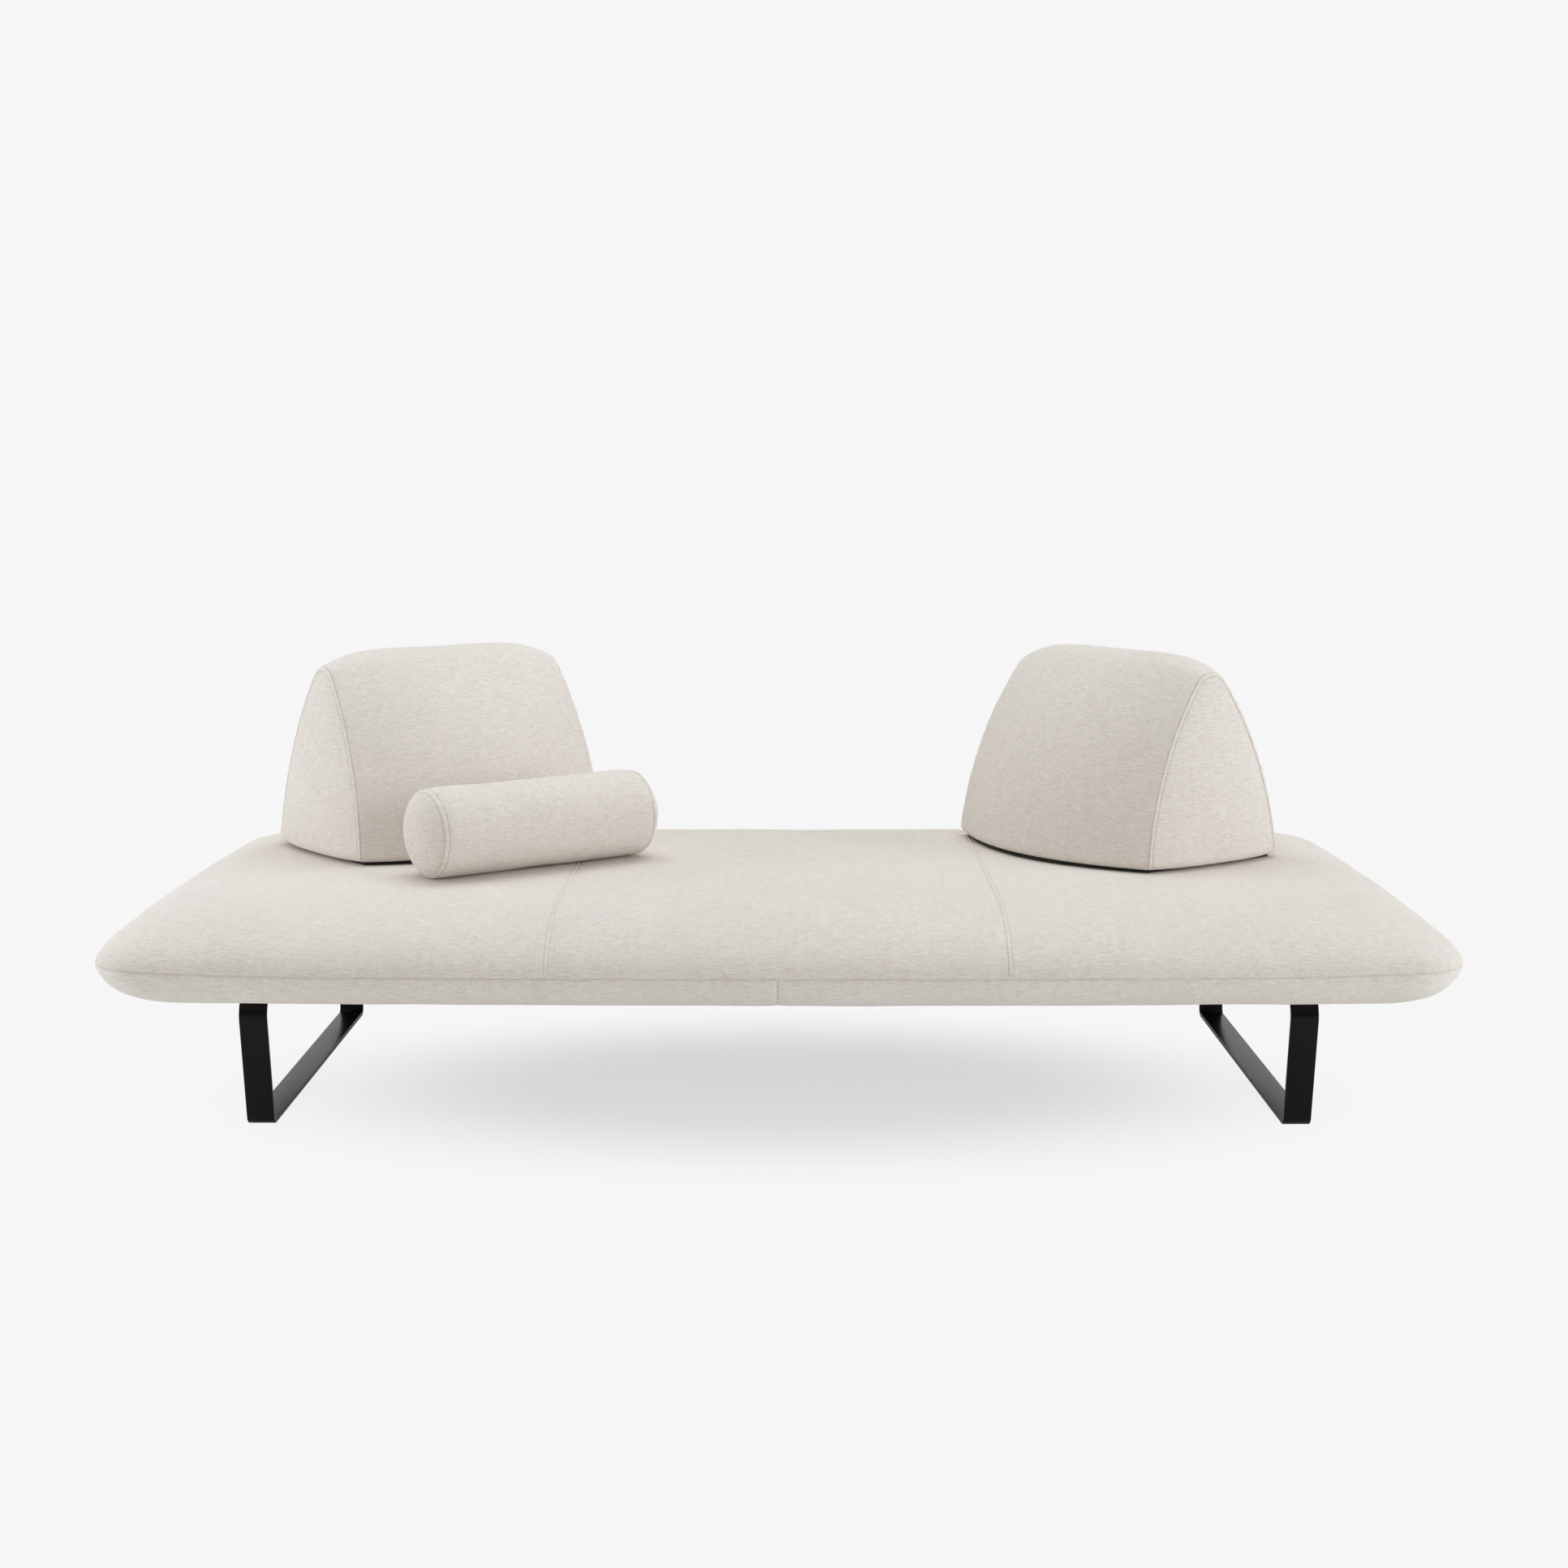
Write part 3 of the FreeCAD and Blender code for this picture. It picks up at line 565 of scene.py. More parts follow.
SEAT_LOW, SEAT_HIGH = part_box("seat_cover_centre")
SEAM_Z, TOP_Z = SEAT_LOW[2], SEAT_HIGH[2]
UNDER_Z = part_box("seat_band_right")[0][2]
HALF_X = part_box("seat_cover_right")[1][0]
HALF_Y, CROSS_SEAM = SEAT_HIGH[1], SEAT_HIGH[0]
TOP_LIMIT = TOP_Z - 0.0001  # the cover stays just under its solid's top
CORNER, FLAT_CORNER, HEM_CORNER = 0.110, 0.090, 0.075  # plan radii at seam, flat top, underside
CUT_CORNER = 0.012  # plan radius where the band ends at the underside cloth
BOW_X, BOW_Y = 0.010, 0.020  # how far the ends and the long sides bow out
CROWN_X, CROWN_Y = 0.170, 0.240  # from the seam in to the flat top
LOWER_X, LOWER_Y = 0.105, 0.090  # from the seam in to the underside
BAND_FULL = 0.95  # under 1, the lower band is fuller than an ellipse
STRAIGHT = 0.86  # columns run straight across the seat as far as this
SEAM_SINK = 0.0021  # depth of the seam round the seat
SIDE_EAR, CORNER_EAR = 0.0028, 0.0006  # rise of the cloth beside it, at a side and a corner
CORNER_IN = 0.030  # a corner's middle, in from the seat's sides
CORNER_POINT = 0.007  # how far the seam stands out at a corner
LINE_WIDTH = 0.0011  # width of the painted shade along a stitch line
CROSS_SHADE, BAND_SHADE = 0.4, 1.6  # painted shade of the cross seams and of the band's own seam
HEM_GAP, HEM_FOLD = 0.0006, 0.0027  # beside the underside cloth, and up into the seat


def near(places, spot, offsets):
    return np.unique(np.round(np.concatenate([places, spot + both_ways(offsets)]), 6))


FRONT_X = np.arange(0, STRAIGHT + 0.001, 0.0215)
FRONT_X = FRONT_X[np.abs(FRONT_X - CROSS_SEAM) > 0.03]
FRONT_X = near(FRONT_X, CROSS_SEAM, [0, 0.0016, 0.0026, 0.0034, 0.0042, 0.0056, 0.0085, 0.014, 0.022])
FRONT_X = FRONT_X[FRONT_X > 0.018]
FRONT_X = np.concatenate([[0, 0.0009, 0.0018, 0.003, 0.005, 0.009, 0.0145], FRONT_X])
TO_CORNER = np.linspace(0, 1, 7)[1:]
CORNER_TURN = np.radians(np.linspace(0, 90, 19))[1:]
TO_END = np.linspace(0, 1, 23)[1:]
QUARTER = len(FRONT_X) + len(TO_CORNER) + len(CORNER_TURN) + len(TO_END) - 1
TURN = len(FRONT_X) + len(TO_CORNER) + len(CORNER_TURN) // 2 - 1


def seat_ring(half_x, half_y, radius, bow=1.0):
    """One plan outline of the seat from the front's middle round to the right."""
    bow_x, bow_y = BOW_X * bow + 1e-6, BOW_Y * bow + 1e-6
    cx, cy = half_x - bow_x - radius, half_y - bow_y - radius
    long_round = (cx * cx + bow_y * bow_y) / (2 * bow_y)
    end_round = (cy * cy + bow_x * bow_x) / (2 * bow_x)
    x = np.concatenate([FRONT_X, STRAIGHT + (cx - STRAIGHT) * TO_CORNER])
    front = np.stack([x, -(half_y - long_round + np.sqrt(long_round ** 2 - x * x))], -1)
    corner = np.stack([cx + radius * np.sin(CORNER_TURN), -cy - radius * np.cos(CORNER_TURN)], -1)
    y = -cy * (1 - TO_END)
    end = np.stack([half_x - end_round + np.sqrt(end_round ** 2 - y * y), y], -1)
    quarter = np.concatenate([front, corner, end])
    over_y, over_x = quarter * (1, -1), quarter * (-1, 1)
    return np.concatenate([quarter, over_y[-2::-1], -quarter[1:], over_x[-2:0:-1]])


def patch_ids(ring):
    """A ring's ids as the four sides of a patch: rows front to rear, columns left to right."""
    whole = 4 * QUARTER
    front = [ring[i % whole] for i in range(whole - TURN, whole + TURN + 1)]
    rear = [ring[i] for i in range(2 * QUARTER + TURN, 2 * QUARTER - TURN - 1, -1)]
    right = [ring[i] for i in range(TURN, 2 * QUARTER - TURN + 1)]
    left = [ring[i] for i in range(whole - TURN, 2 * QUARTER + TURN - 1, -1)]
    return front, rear, left, right


def cross_shade(x):
    """Painted shade along the two stitch lines of each cross seam."""
    e = np.abs(np.abs(x) - CROSS_SEAM)
    return CROSS_SHADE * bump(e - bpy.context.scene.sofa_seams.ridge / 2, LINE_WIDTH)


def fill_patch(skin, ring_ids, ring_co, z_of):
    """Closes a ring of the seat with a grid whose columns stay straight between the ends."""
    front, rear, left, right = patch_ids(list(ring_ids))
    spot = {int(i): p for i, p in zip(ring_ids, ring_co)}
    f, b, r = (np.array([spot[int(i)] for i in side]) for side in (front, rear, right))
    share = (r[:, 1] - r[0, 1]) / (r[-1, 1] - r[0, 1])
    y = f[None, :, 1] * (1 - share[:, None]) + b[None, :, 1] * share[:, None]
    weight = step(STRAIGHT * 0.96, f[-1, 0], np.abs(f[:, 0])) * np.sign(f[:, 0])
    x = f[None, :, 0] + weight[None, :] * (r[:, 0] - r[0, 0])[:, None]
    co = np.stack([x, y, z_of(x, y)], -1)
    ids = np.empty(x.shape, int)
    # The patch's points carry the cross seams' painted shade.
    ids[1:-1, 1:-1] = skin.points(co[1:-1, 1:-1], cross_shade(x)[1:-1, 1:-1])
    ids[0], ids[-1] = front, rear
    ids[:, 0], ids[:, -1] = left, right
    skin.grid(ids, co[..., :2])


def cross_seam_profile(x):
    """Felled seams across the top: a flat ridge between two sunk stitch lines."""
    seams = bpy.context.scene.sofa_seams
    e = np.abs(np.abs(x) - CROSS_SEAM)
    half = seams.ridge / 2
    return (-0.0010 * bump(e, 0.016) - 0.75 * seams.groove * bump(e - half, 0.0010)
            + 0.0006 * (1 - step(half * 0.55, half, e)))


def seat_top_height(x, y):
    """The flat of the seat, a little uneven and never above its solid's top."""
    sunk = 0.0009 * (0.5 + 0.35 * ripple(x, y, 0.33, 4))
    return TOP_LIMIT - np.clip(sunk, 0, 0.002) + cross_seam_profile(x)


def rolled(angles, run_x, run_y, lift, inner, full=1.0):
    """Rows of the seat's edge from the seam in to a flat; full under 1 fills the roll out."""
    rows = []
    for a in angles:
        pull = 1 - max(math.cos(a), 0) ** full
        ring = seat_ring(HALF_X - run_x * pull, HALF_Y - run_y * pull,
                         CORNER + (inner - CORNER) * pull)
        rows.append(level(ring, SEAM_Z + lift * math.sin(a) ** full))
    return np.array(rows)


def near_corner(ring, spread):
    """1 at the seat's corners, falling off along its sides."""
    aside = np.abs(ring[:, :2]) - (HALF_X - CORNER_IN, HALF_Y - CORNER_IN)
    return np.exp(-(aside ** 2).sum(1) / spread ** 2)


def seat_relief(up, down, top, low, round_length):
    """The seat's edge with its seams sunk, puckered and drawn out at the corners."""
    seams = bpy.context.scene.sofa_seams
    up_length, low_length = run_length(top), run_length(low)
    out_top = grid_normals(top, True)
    out_low = -grid_normals(low, True)
    for out in (out_top, out_low):
        out[0] = unit((out_top[0] + out_low[0]) * (1, 1, 0.15))
    whole = round_length[-1]
    around = round_length[:-1] / whole * math.tau
    ring_x, ring_y = np.cos(around) * whole / math.tau, np.sin(around) * whole / math.tau
    pucker = (seams.pucker * ripple(ring_x, ring_y, 0.021, 9)
              * (0.6 + 0.4 * ripple(ring_x, ring_y, 0.19, 2)))
    sag = 0.0007 * ripple(ring_x, ring_y, 0.24, 6)
    corner = near_corner(top[0], 0.19)
    ear = SIDE_EAR + (CORNER_EAR - SIDE_EAR) * corner
    lift_top = (-SEAM_SINK * bump(up_length, 0.0026) + ear * np.exp(-up_length / 0.020)
                + pucker * np.exp(-up_length / 0.016) + sag * np.sin(up)[:, None])
    lift_low = (-SEAM_SINK * bump(low_length, 0.0026) + ear * np.exp(-low_length / 0.016)
                + pucker * np.exp(-low_length / 0.013) - sag * np.sin(down * 2)[:, None])
    side = np.abs(out_top[0][:, 1]) > 0.8
    fade = np.clip((up_length - 0.001) / 0.012, 0, 1)
    lift_top += np.where(side, cross_seam_profile(top[..., 0]) * fade, 0)
    e = np.abs(low[..., 0])
    centre = -0.0011 * bump(e, 0.0013) - 0.0009 * bump(e, 0.012)
    lift_low += np.where(side, centre * np.clip(low_length / 0.006, 0, 1), 0)
    lift_top *= np.clip((math.pi / 2 - up) / 0.10, 0, 1)[:, None]
    lift_low *= np.clip((math.pi / 2 - down) / 0.25, 0, 1)[:, None]
    top_co = top + out_top * lift_top[..., None]
    low_co = low + out_low * lift_low[..., None]
    point = near_corner(top[0], 0.12)[:, None] * CORNER_POINT
    top_co += out_top[0] * point * np.exp(-up_length / 0.030)[..., None]
    low_co += out_top[0] * point * np.exp(-low_length / 0.022)[..., None]
    top_co[..., 2] += seams.corner * corner * bump(up_length, 0.045)
    low_co[..., 2] += seams.corner * corner * bump(low_length, 0.040)
    top_co[..., 2] = np.minimum(top_co[..., 2], TOP_LIMIT)
    edge = top_co[-1]
    edge[:, 2] = np.minimum(seat_top_height(edge[:, 0], edge[:, 1]), edge[:, 2])
    low_co[0] = top_co[0]
    return top_co, low_co, out_top, side


def seat_hem():
    """Rings of the band from the underside's edge in to the underside cloth, and up beside it."""
    cloth_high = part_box("underside_cloth")[1]
    run_x = cloth_high[0] + HEM_GAP - HALF_X + LOWER_X
    run_y = cloth_high[1] + HEM_GAP - HALF_Y + LOWER_Y
    return np.array([
        level(seat_ring(HALF_X - LOWER_X + run_x * share, HALF_Y - LOWER_Y + run_y * share,
                        HEM_CORNER + (CUT_CORNER - HEM_CORNER) * share, 1 - share), UNDER_Z + up)
        for share, up in ((0.5, 0.0), (0.96, 0.0), (1.0, 0.0004), (1.0, HEM_FOLD))])


def cross_seam_lines(top, top_co, out_top):
    """Paths of the stitches along both sides of each cross seam, from front to rear."""
    ridge = bpy.context.scene.sofa_seams.ridge
    proud = 0.0002
    count = 60
    lines = []
    for sign in (-1, 1):
        for hand in (-1, 1):
            x = sign * CROSS_SEAM + hand * ridge / 2
            column = int(np.argmin(np.abs(top[0, :QUARTER, 0] - abs(x))))
            path = top_co[2:, column] + out_top[2:, column] * proud
            path = path * (1 if x > 0 else -1, 1, 1)
            y = np.linspace(-1, 1, count) * abs(path[-1, 1])
            flat = np.column_stack([np.full(count, x), y, seat_top_height(np.full(count, x), y) + proud])
            lines.append(np.concatenate([path, flat[1:-1], path[::-1] * (1, -1, 1)]))
    return lines


def build_seat():
    skin = Skin()
    rise, drop = TOP_Z - SEAM_Z, SEAM_Z - UNDER_Z
    near_seam = np.array([0, 0.0009, 0.0018, 0.0028, 0.004, 0.0058, 0.0085, 0.0125, 0.018, 0.026])
    up = np.concatenate([near_seam / rise, np.linspace(0.37, math.pi / 2, 20)])
    down = np.concatenate([(near_seam / drop) ** (1 / BAND_FULL), np.linspace(0.50, math.pi / 2, 14)])
    top = rolled(up, CROWN_X, CROWN_Y, rise, FLAT_CORNER)
    low = rolled(down, LOWER_X, LOWER_Y, -drop, HEM_CORNER, BAND_FULL)
    up_length, low_length = run_length(top), run_length(low)
    round_length = run_length(wrap(top[:1]), 1)[0]
    top_co, low_co, out_top, side = seat_relief(up, down, top, low, round_length)

    # Painted shade along the seam round the seat and along the cross seams' stitch lines.
    cross = np.where(side, cross_shade(top[..., 0]), 0) * step(0.002, 0.006, up_length)
    top_ids = skin.points(top_co, np.maximum(bump(up_length, 0.0015), cross))
    out_plan = unit(top[0, :, :2] - top[-1, :, :2])
    unrolled = top[-1, :, :2] + out_plan * (up_length[-1:] - up_length)[..., None]
    skin.grid(wrap(top_ids), wrap(unrolled))
    fill_patch(skin, top_ids[-1], top_co[-1], seat_top_height)

    low_ids = np.empty(low.shape[:2], int)
    low_ids[0] = top_ids[0]
    # Painted shade at the seam round the seat with a painted highlight just below it, and painted shade
    # at the band's middle seam.
    line = bump(low_length, 0.0013) - 0.5 * bump(low_length - 0.0045, 0.0022)
    split = np.where(side, BAND_SHADE * bump(np.abs(low[..., 0]), LINE_WIDTH), 0)
    low_ids[1:] = skin.points(low_co[1:], np.maximum(line, split)[1:])
    uv_clear = 3.0  # sets the band's part of the UV map off from the top's
    along = np.broadcast_to(round_length, (len(low), len(round_length)))
    skin.grid(wrap(low_ids), np.stack([along, uv_clear - wrap(low_length)], -1))
    hem = seat_hem()
    hem_ids = np.concatenate([low_ids[-1:], skin.points(hem)])
    skin.grid(wrap(hem_ids), wrap(np.concatenate([low_co[-1:, :, :2], hem[..., :2]])))
    fill_patch(skin, hem_ids[-1], hem[-1], lambda x, y: np.full(x.shape, UNDER_Z + HEM_FOLD))
    seat = place(skin.mesh("seat_cushion"), finish("seat_cloth"), "seat",
                 ("seat_cover_left", "seat_cover_centre", "seat_cover_right", "seat_band_left",
                  "seat_band_right", "seat_foam", "edge_foam_front", "edge_foam_rear",
                  "edge_foam_left", "edge_foam_right"))
    sew("seat_stitches", cross_seam_lines(top, top_co, out_top), "seat")


# Rows of small like pieces, by geometry nodes


def copies_tree(name, inputs):
    """A tree that puts copies of a shape on points and coats them; what goes in is left open."""
    tree = bpy.data.node_groups.new(name, "GeometryNodeTree")
    tree.interface.new_socket("Geometry", in_out="INPUT", socket_type="NodeSocketGeometry")
    for label, kind in inputs:
        tree.interface.new_socket(label, in_out="INPUT", socket_type="NodeSocket" + kind)
    tree.interface.new_socket("Geometry", in_out="OUTPUT", socket_type="NodeSocketGeometry")
    add, link = tree.nodes.new, tree.links.new
    given, out = add("NodeGroupInput"), add("NodeGroupOutput")
    copies, shape = add("GeometryNodeInstanceOnPoints"), add("GeometryNodeObjectInfo")
    real, coat = add("GeometryNodeRealizeInstances"), add("GeometryNodeSetMaterial")
    vary = add("FunctionNodeRandomValue")
    vary.data_type = "FLOAT"
    link(given.outputs["Shape"], shape.inputs["Object"])
    link(shape.outputs["Geometry"], copies.inputs["Instance"])
    link(given.outputs["Seed"], vary.inputs["Seed"])
    link(copies.outputs[0], real.inputs[0])
    link(real.outputs[0], coat.inputs["Geometry"])
    link(given.outputs["Finish"], coat.inputs["Material"])
    link(coat.outputs[0], out.inputs[0])
    return tree, given, copies, vary


def row_tree():
    """Copies of a shape along every line of the mesh, spaced by length."""
    tree, given, copies, vary = copies_tree(
        "row_along_lines",
        (("Shape", "Object"), ("Spacing", "Float"), ("Finish", "Material"), ("Seed", "Int")))
    add, link = tree.nodes.new, tree.links.new
    vary.inputs["Min"].default_value, vary.inputs["Max"].default_value = 0.92, 1.05
    curve, even = add("GeometryNodeMeshToCurve"), add("GeometryNodeResampleCurve")
    even.mode = "LENGTH"
    tangent, aim = add("GeometryNodeInputTangent"), add("FunctionNodeAlignRotationToVector")
    aim.axis = "X"
    link(given.outputs["Geometry"], curve.inputs[0])
    link(curve.outputs[0], even.inputs["Curve"])
    link(given.outputs["Spacing"], even.inputs["Length"])
    link(even.outputs[0], copies.inputs["Points"])
    link(tangent.outputs[0], aim.inputs["Vector"])
    link(aim.outputs[0], copies.inputs["Rotation"])
    link(vary.outputs["Value"], copies.inputs["Scale"])
    return tree


def spot_tree():
    """Copies of a shape on every point of the mesh, each turned its own way."""
    tree, given, copies, vary = copies_tree(
        "pieces_on_points", (("Shape", "Object"), ("Finish", "Material"), ("Seed", "Int")))
    vary.inputs["Max"].default_value = math.tau
    turn = tree.nodes.new("ShaderNodeCombineXYZ")
    tree.links.new(given.outputs["Geometry"], copies.inputs["Points"])
    tree.links.new(vary.outputs["Value"], turn.inputs["Z"])
    tree.links.new(turn.outputs[0], copies.inputs["Rotation"])
    return tree


def repeat(name, tree, points, edges, shape_mesh, material, body, slot, replaced=(), **values):
    """Runs a tree on lines or points and keeps the result as a plain mesh."""
    base = bpy.data.meshes.new(name + "_base")
    base.from_pydata([tuple(p) for p in points], edges, [])
    holder = bpy.data.objects.new(name + "_holder", base)
    shape = bpy.data.objects.new(name + "_shape", shape_mesh)
    for obj in (holder, shape):
        bpy.context.scene.collection.objects.link(obj)
    modifier = holder.modifiers.new("rows", "NODES")
    modifier.node_group = tree
    values.update(Shape=shape, Finish=material)
    for item in tree.interface.items_tree:
        if item.in_out == "INPUT" and item.name in values:
            modifier[item.identifier] = values[item.name]
    holder.data.update()
    graph = bpy.context.evaluated_depsgraph_get()
    graph.update()
    mesh = bpy.data.meshes.new_from_object(holder.evaluated_get(graph))
    if not len(mesh.polygons):
        raise RuntimeError(name + ": the tree made nothing")
    mesh.name = name
    holder.modifiers.remove(modifier)
    for obj in (holder, shape):
        bpy.data.objects.remove(obj)
    return place(mesh, material, body, replaced)


def stitch_shape():
    """One stitch: a short round of thread that dives into the cloth at both ends."""
    seams = bpy.context.scene.sofa_seams
    half, thick = seams.stitch / 2, seams.thread / 2
    turn = np.linspace(0, math.tau, 7)[:-1]
    rows = [np.column_stack([np.full(6, t * half), thick * share * np.cos(turn),
                             thick * share * np.sin(turn) + thick * 0.5 * (1 - t * t)])
            for t, share in ((-1, 0.3), (-0.7, 0.9), (0, 1.0), (0.7, 0.9), (1, 0.3))]
    return tube(np.array(rows)).mesh("stitch")


def sew(name, lines, body):
    """Stitches along lines of points."""
    seams = bpy.context.scene.sofa_seams
    points, edges = [], []
    for line in lines:
        start = len(points)
        points.extend(line.tolist())
        edges.extend((start + i, start + i + 1) for i in range(len(line) - 1))
    return repeat(name, shared("rows", row_tree), points, edges, stitch_shape(), finish("thread"),
                  body, "cover_fabric", Spacing=seams.stitch + seams.stitch_gap, Seed=3)


# Loose cushions: swelling of a cover between its seams, and where the cushion lies


CLOTH = {"vertex_group_mass": "held", "quality": 6, "mass": 0.35, "tension_stiffness": 22,
         "compression_stiffness": 22, "shear_stiffness": 12, "bending_stiffness": 4,
         "use_pressure": True, "uniform_pressure_force": 4.0}
SWELL_FRAMES = 20


def swell(co, faces, pinned):
    """Lets a closed cover swell with its seams held, and gives each point's travel."""
    mesh = bpy.data.meshes.new("swelling")
    mesh.from_pydata(co.tolist(), [], faces)
    face_outward(mesh)
    obj = bpy.data.objects.new("swelling", mesh)
    bpy.context.scene.collection.objects.link(obj)
    held = obj.vertex_groups.new(name="held")
    held.add([int(i) for i in pinned], 1.0, "REPLACE")
    cloth = obj.modifiers.new("cloth", "CLOTH")
    for key, value in CLOTH.items():
        setattr(cloth.settings, key, value)
    cloth.settings.effector_weights.gravity = 0.0
    cloth.collision_settings.use_collision = False
    cloth.collision_settings.use_self_collision = False
    cloth.point_cache.frame_start = 1
    cloth.point_cache.frame_end = SWELL_FRAMES
    scene = bpy.context.scene
    for i in range(1, SWELL_FRAMES + 1):
        scene.frame_set(i)
    graph = bpy.context.evaluated_depsgraph_get()
    moved, normal = np.empty(len(co) * 3), np.empty(len(co) * 3)
    obj.evaluated_get(graph).data.vertices.foreach_get("co", moved)
    mesh.vertices.foreach_get("normal", normal)
    scene.frame_set(1)
    bpy.data.objects.remove(obj)
    bpy.data.meshes.remove(mesh)
    return np.nan_to_num(((moved.reshape(-1, 3) - co) * normal.reshape(-1, 3)).sum(1))


def swelling(skin, held):
    co = skin.co()
    travel = swell(co, skin.faces, held)
    limit = bpy.context.scene.sofa_seams.swell
    return limit * np.tanh(np.clip(travel, -0.05, 0.05) / limit)


def joint_spot(name):
    return next(j for j in frame["joints"] if j["name"] == name)["pos_m"]


def set_down(co, yaw, spot):
    """Points of a cushion, turned by yaw about its own upright axis and moved to its spot."""
    co = np.array(co)
    c, s = math.cos(yaw), math.sin(yaw)
    co[:, :2] = co[:, :2] @ np.array([[c, s], [-s, c]]) + np.array(spot[:2])
    co[:, 2] += spot[2]
    return co


# Backrests: their form and seams, in metres


BACK_WIDTH, BACK_ENDS, BACK_MIDDLE = 0.571, 0.360, 0.530  # wide, and deep at the ends and middle
BACK_HALF = BACK_WIDTH / 2
BACK_HEIGHT, BACK_SHOULDER = 0.4085, 0.3745  # tall at the middle and at the ends
RIDGE_ENDS, RIDGE_MIDDLE = 0.050, 0.097  # round of the top
BACK_WIDEST, BACK_TAPER, SIDE_BULGE = -0.060, 0.056, 0.024
FOOT_ROUND, FOOT_DEPTH = 0.018, 0.205  # round under the foot, and the half depth it draws in
FOOT_ROWS = np.array([0.0, 0.0005, 0.0016, 0.0035, 0.006, 0.0095, 0.0135, 0.018, 0.0235])
EDGE_STEPS = np.array([0, 0.0010, 0.0020, 0.0032, 0.0046, 0.0060, 0.0072, 0.0084, 0.0096, 0.0115, 0.015])
BACK_FINE = (34, 14, FOOT_ROWS)  # rows of a flank, of the ridge and at the foot
BACK_COARSE = (15, 5, np.array([0.0, 0.003, 0.010, 0.0235]))
BACK_YAW = {"left": 39.0, "right": -55.3}
BACK_SEED = {"left": 20, "right": 50}
SIDE_LINE = 0.0006  # from a side seam's ridge to its stitch line
SIDE_SHADE = 1.5  # painted shade along the seam round a side panel
PAD_INSET = 0.012  # from the cover's foot in to the grip pad's rim
PAD_ACROSS, PAD_DEEP = 61, 31  # points along the pad's long sides and its ends
PAD_RIB = 0.0006


def arch_rows(share, inset, flank_rows, ridge_rows, foot):
    """A backrest's section at a share of its half width, as (y, z) from front foot to rear foot."""
    s = abs(share)
    half = (BACK_MIDDLE - (BACK_MIDDLE - BACK_ENDS) * s ** 2) / 2 - inset
    apex = BACK_HEIGHT - (BACK_HEIGHT - BACK_SHOULDER) * s ** 5 - inset
    ridge = RIDGE_MIDDLE - (RIDGE_MIDDLE - RIDGE_ENDS) * s ** 2 - inset
    rise = apex - ridge - BACK_WIDEST
    flank = (half ** 2 + rise ** 2 - ridge ** 2) / (2 * (half - ridge))
    centre = half - flank
    joined = math.atan2(rise, -centre)
    low = np.arcsin((foot - BACK_WIDEST) / flank)
    angle = np.concatenate([low, np.linspace(low[-1], joined, flank_rows + 1)[1:]])
    turn = np.linspace(joined, math.pi / 2, ridge_rows + 1)[1:]
    y = np.concatenate([centre + flank * np.cos(angle), ridge * np.cos(turn)])
    z = np.concatenate([BACK_WIDEST + flank * np.sin(angle), apex - ridge + ridge * np.sin(turn)])
    return np.concatenate([-y, y[-2::-1]]), np.concatenate([z, z[-2::-1]])


def back_panel(shares, flank_rows, ridge_rows, foot):
    """The cover panel of a backrest: front, top and rear over its whole width."""
    panel = []
    for share in shares:
        y, z = arch_rows(share, 0.0, flank_rows, ridge_rows, foot)
        panel.append(np.column_stack([share * (BACK_HALF - BACK_TAPER * z), y, z]))
    return np.array(panel)


def side_reach(y, z, half):
    """How far a side panel stands out at (y, z), where it is half wide."""
    t = np.clip(np.abs(y) / np.maximum(half, 1e-6), 0, 1)
    return BACK_HALF - BACK_TAPER * z + SIDE_BULGE * half / (BACK_ENDS / 2) * (1 - t ** 3)


def back_side(sign, steps, inner, flank_rows, ridge_rows, foot):
    """One side panel: rows from the foot up to the top, columns from front to rear."""
    y, z = arch_rows(1.0, 0.0, flank_rows, ridge_rows, foot)
    top = len(y) // 2
    half, z = -y[:top + 1, None], z[:top + 1, None]
    shrink = np.minimum(1, half / 0.06)
    y = np.concatenate([-half + steps * shrink, inner * (half - steps[-1] * shrink),
                        half - steps[::-1] * shrink], 1)
    z = np.broadcast_to(z, y.shape)
    return np.stack([sign * side_reach(y, z, half), y, z], -1)


def edge_distance(grid):
    """Distance of a side panel's points from the seam round it, in its own plane."""
    seam = np.concatenate([grid[:, 0, 1:], grid[-2::-1, -1, 1:]])
    a, b = seam[:-1], seam[1:]
    points = grid[..., 1:].reshape(-1, 1, 2)
    way = (b - a)[None]
    t = np.clip(((points - a) * way).sum(-1) / np.maximum((way ** 2).sum(-1), 1e-14), 0, 1)
    gap = np.linalg.norm(points - (a + way * t[..., None]), axis=-1)
    return gap.min(1).reshape(grid.shape[:2])


def tuck(co):
    """Rounds the foot of a backrest under, all the way round."""
    z = np.clip(co[..., 2], 0, FOOT_ROUND)
    inset = FOOT_ROUND - np.sqrt(np.maximum(FOOT_ROUND ** 2 - (FOOT_ROUND - z) ** 2, 0))
    out = co.copy()
    out[..., 0] *= 1 - inset / BACK_HALF
    out[..., 1] *= 1 - inset / FOOT_DEPTH
    return out


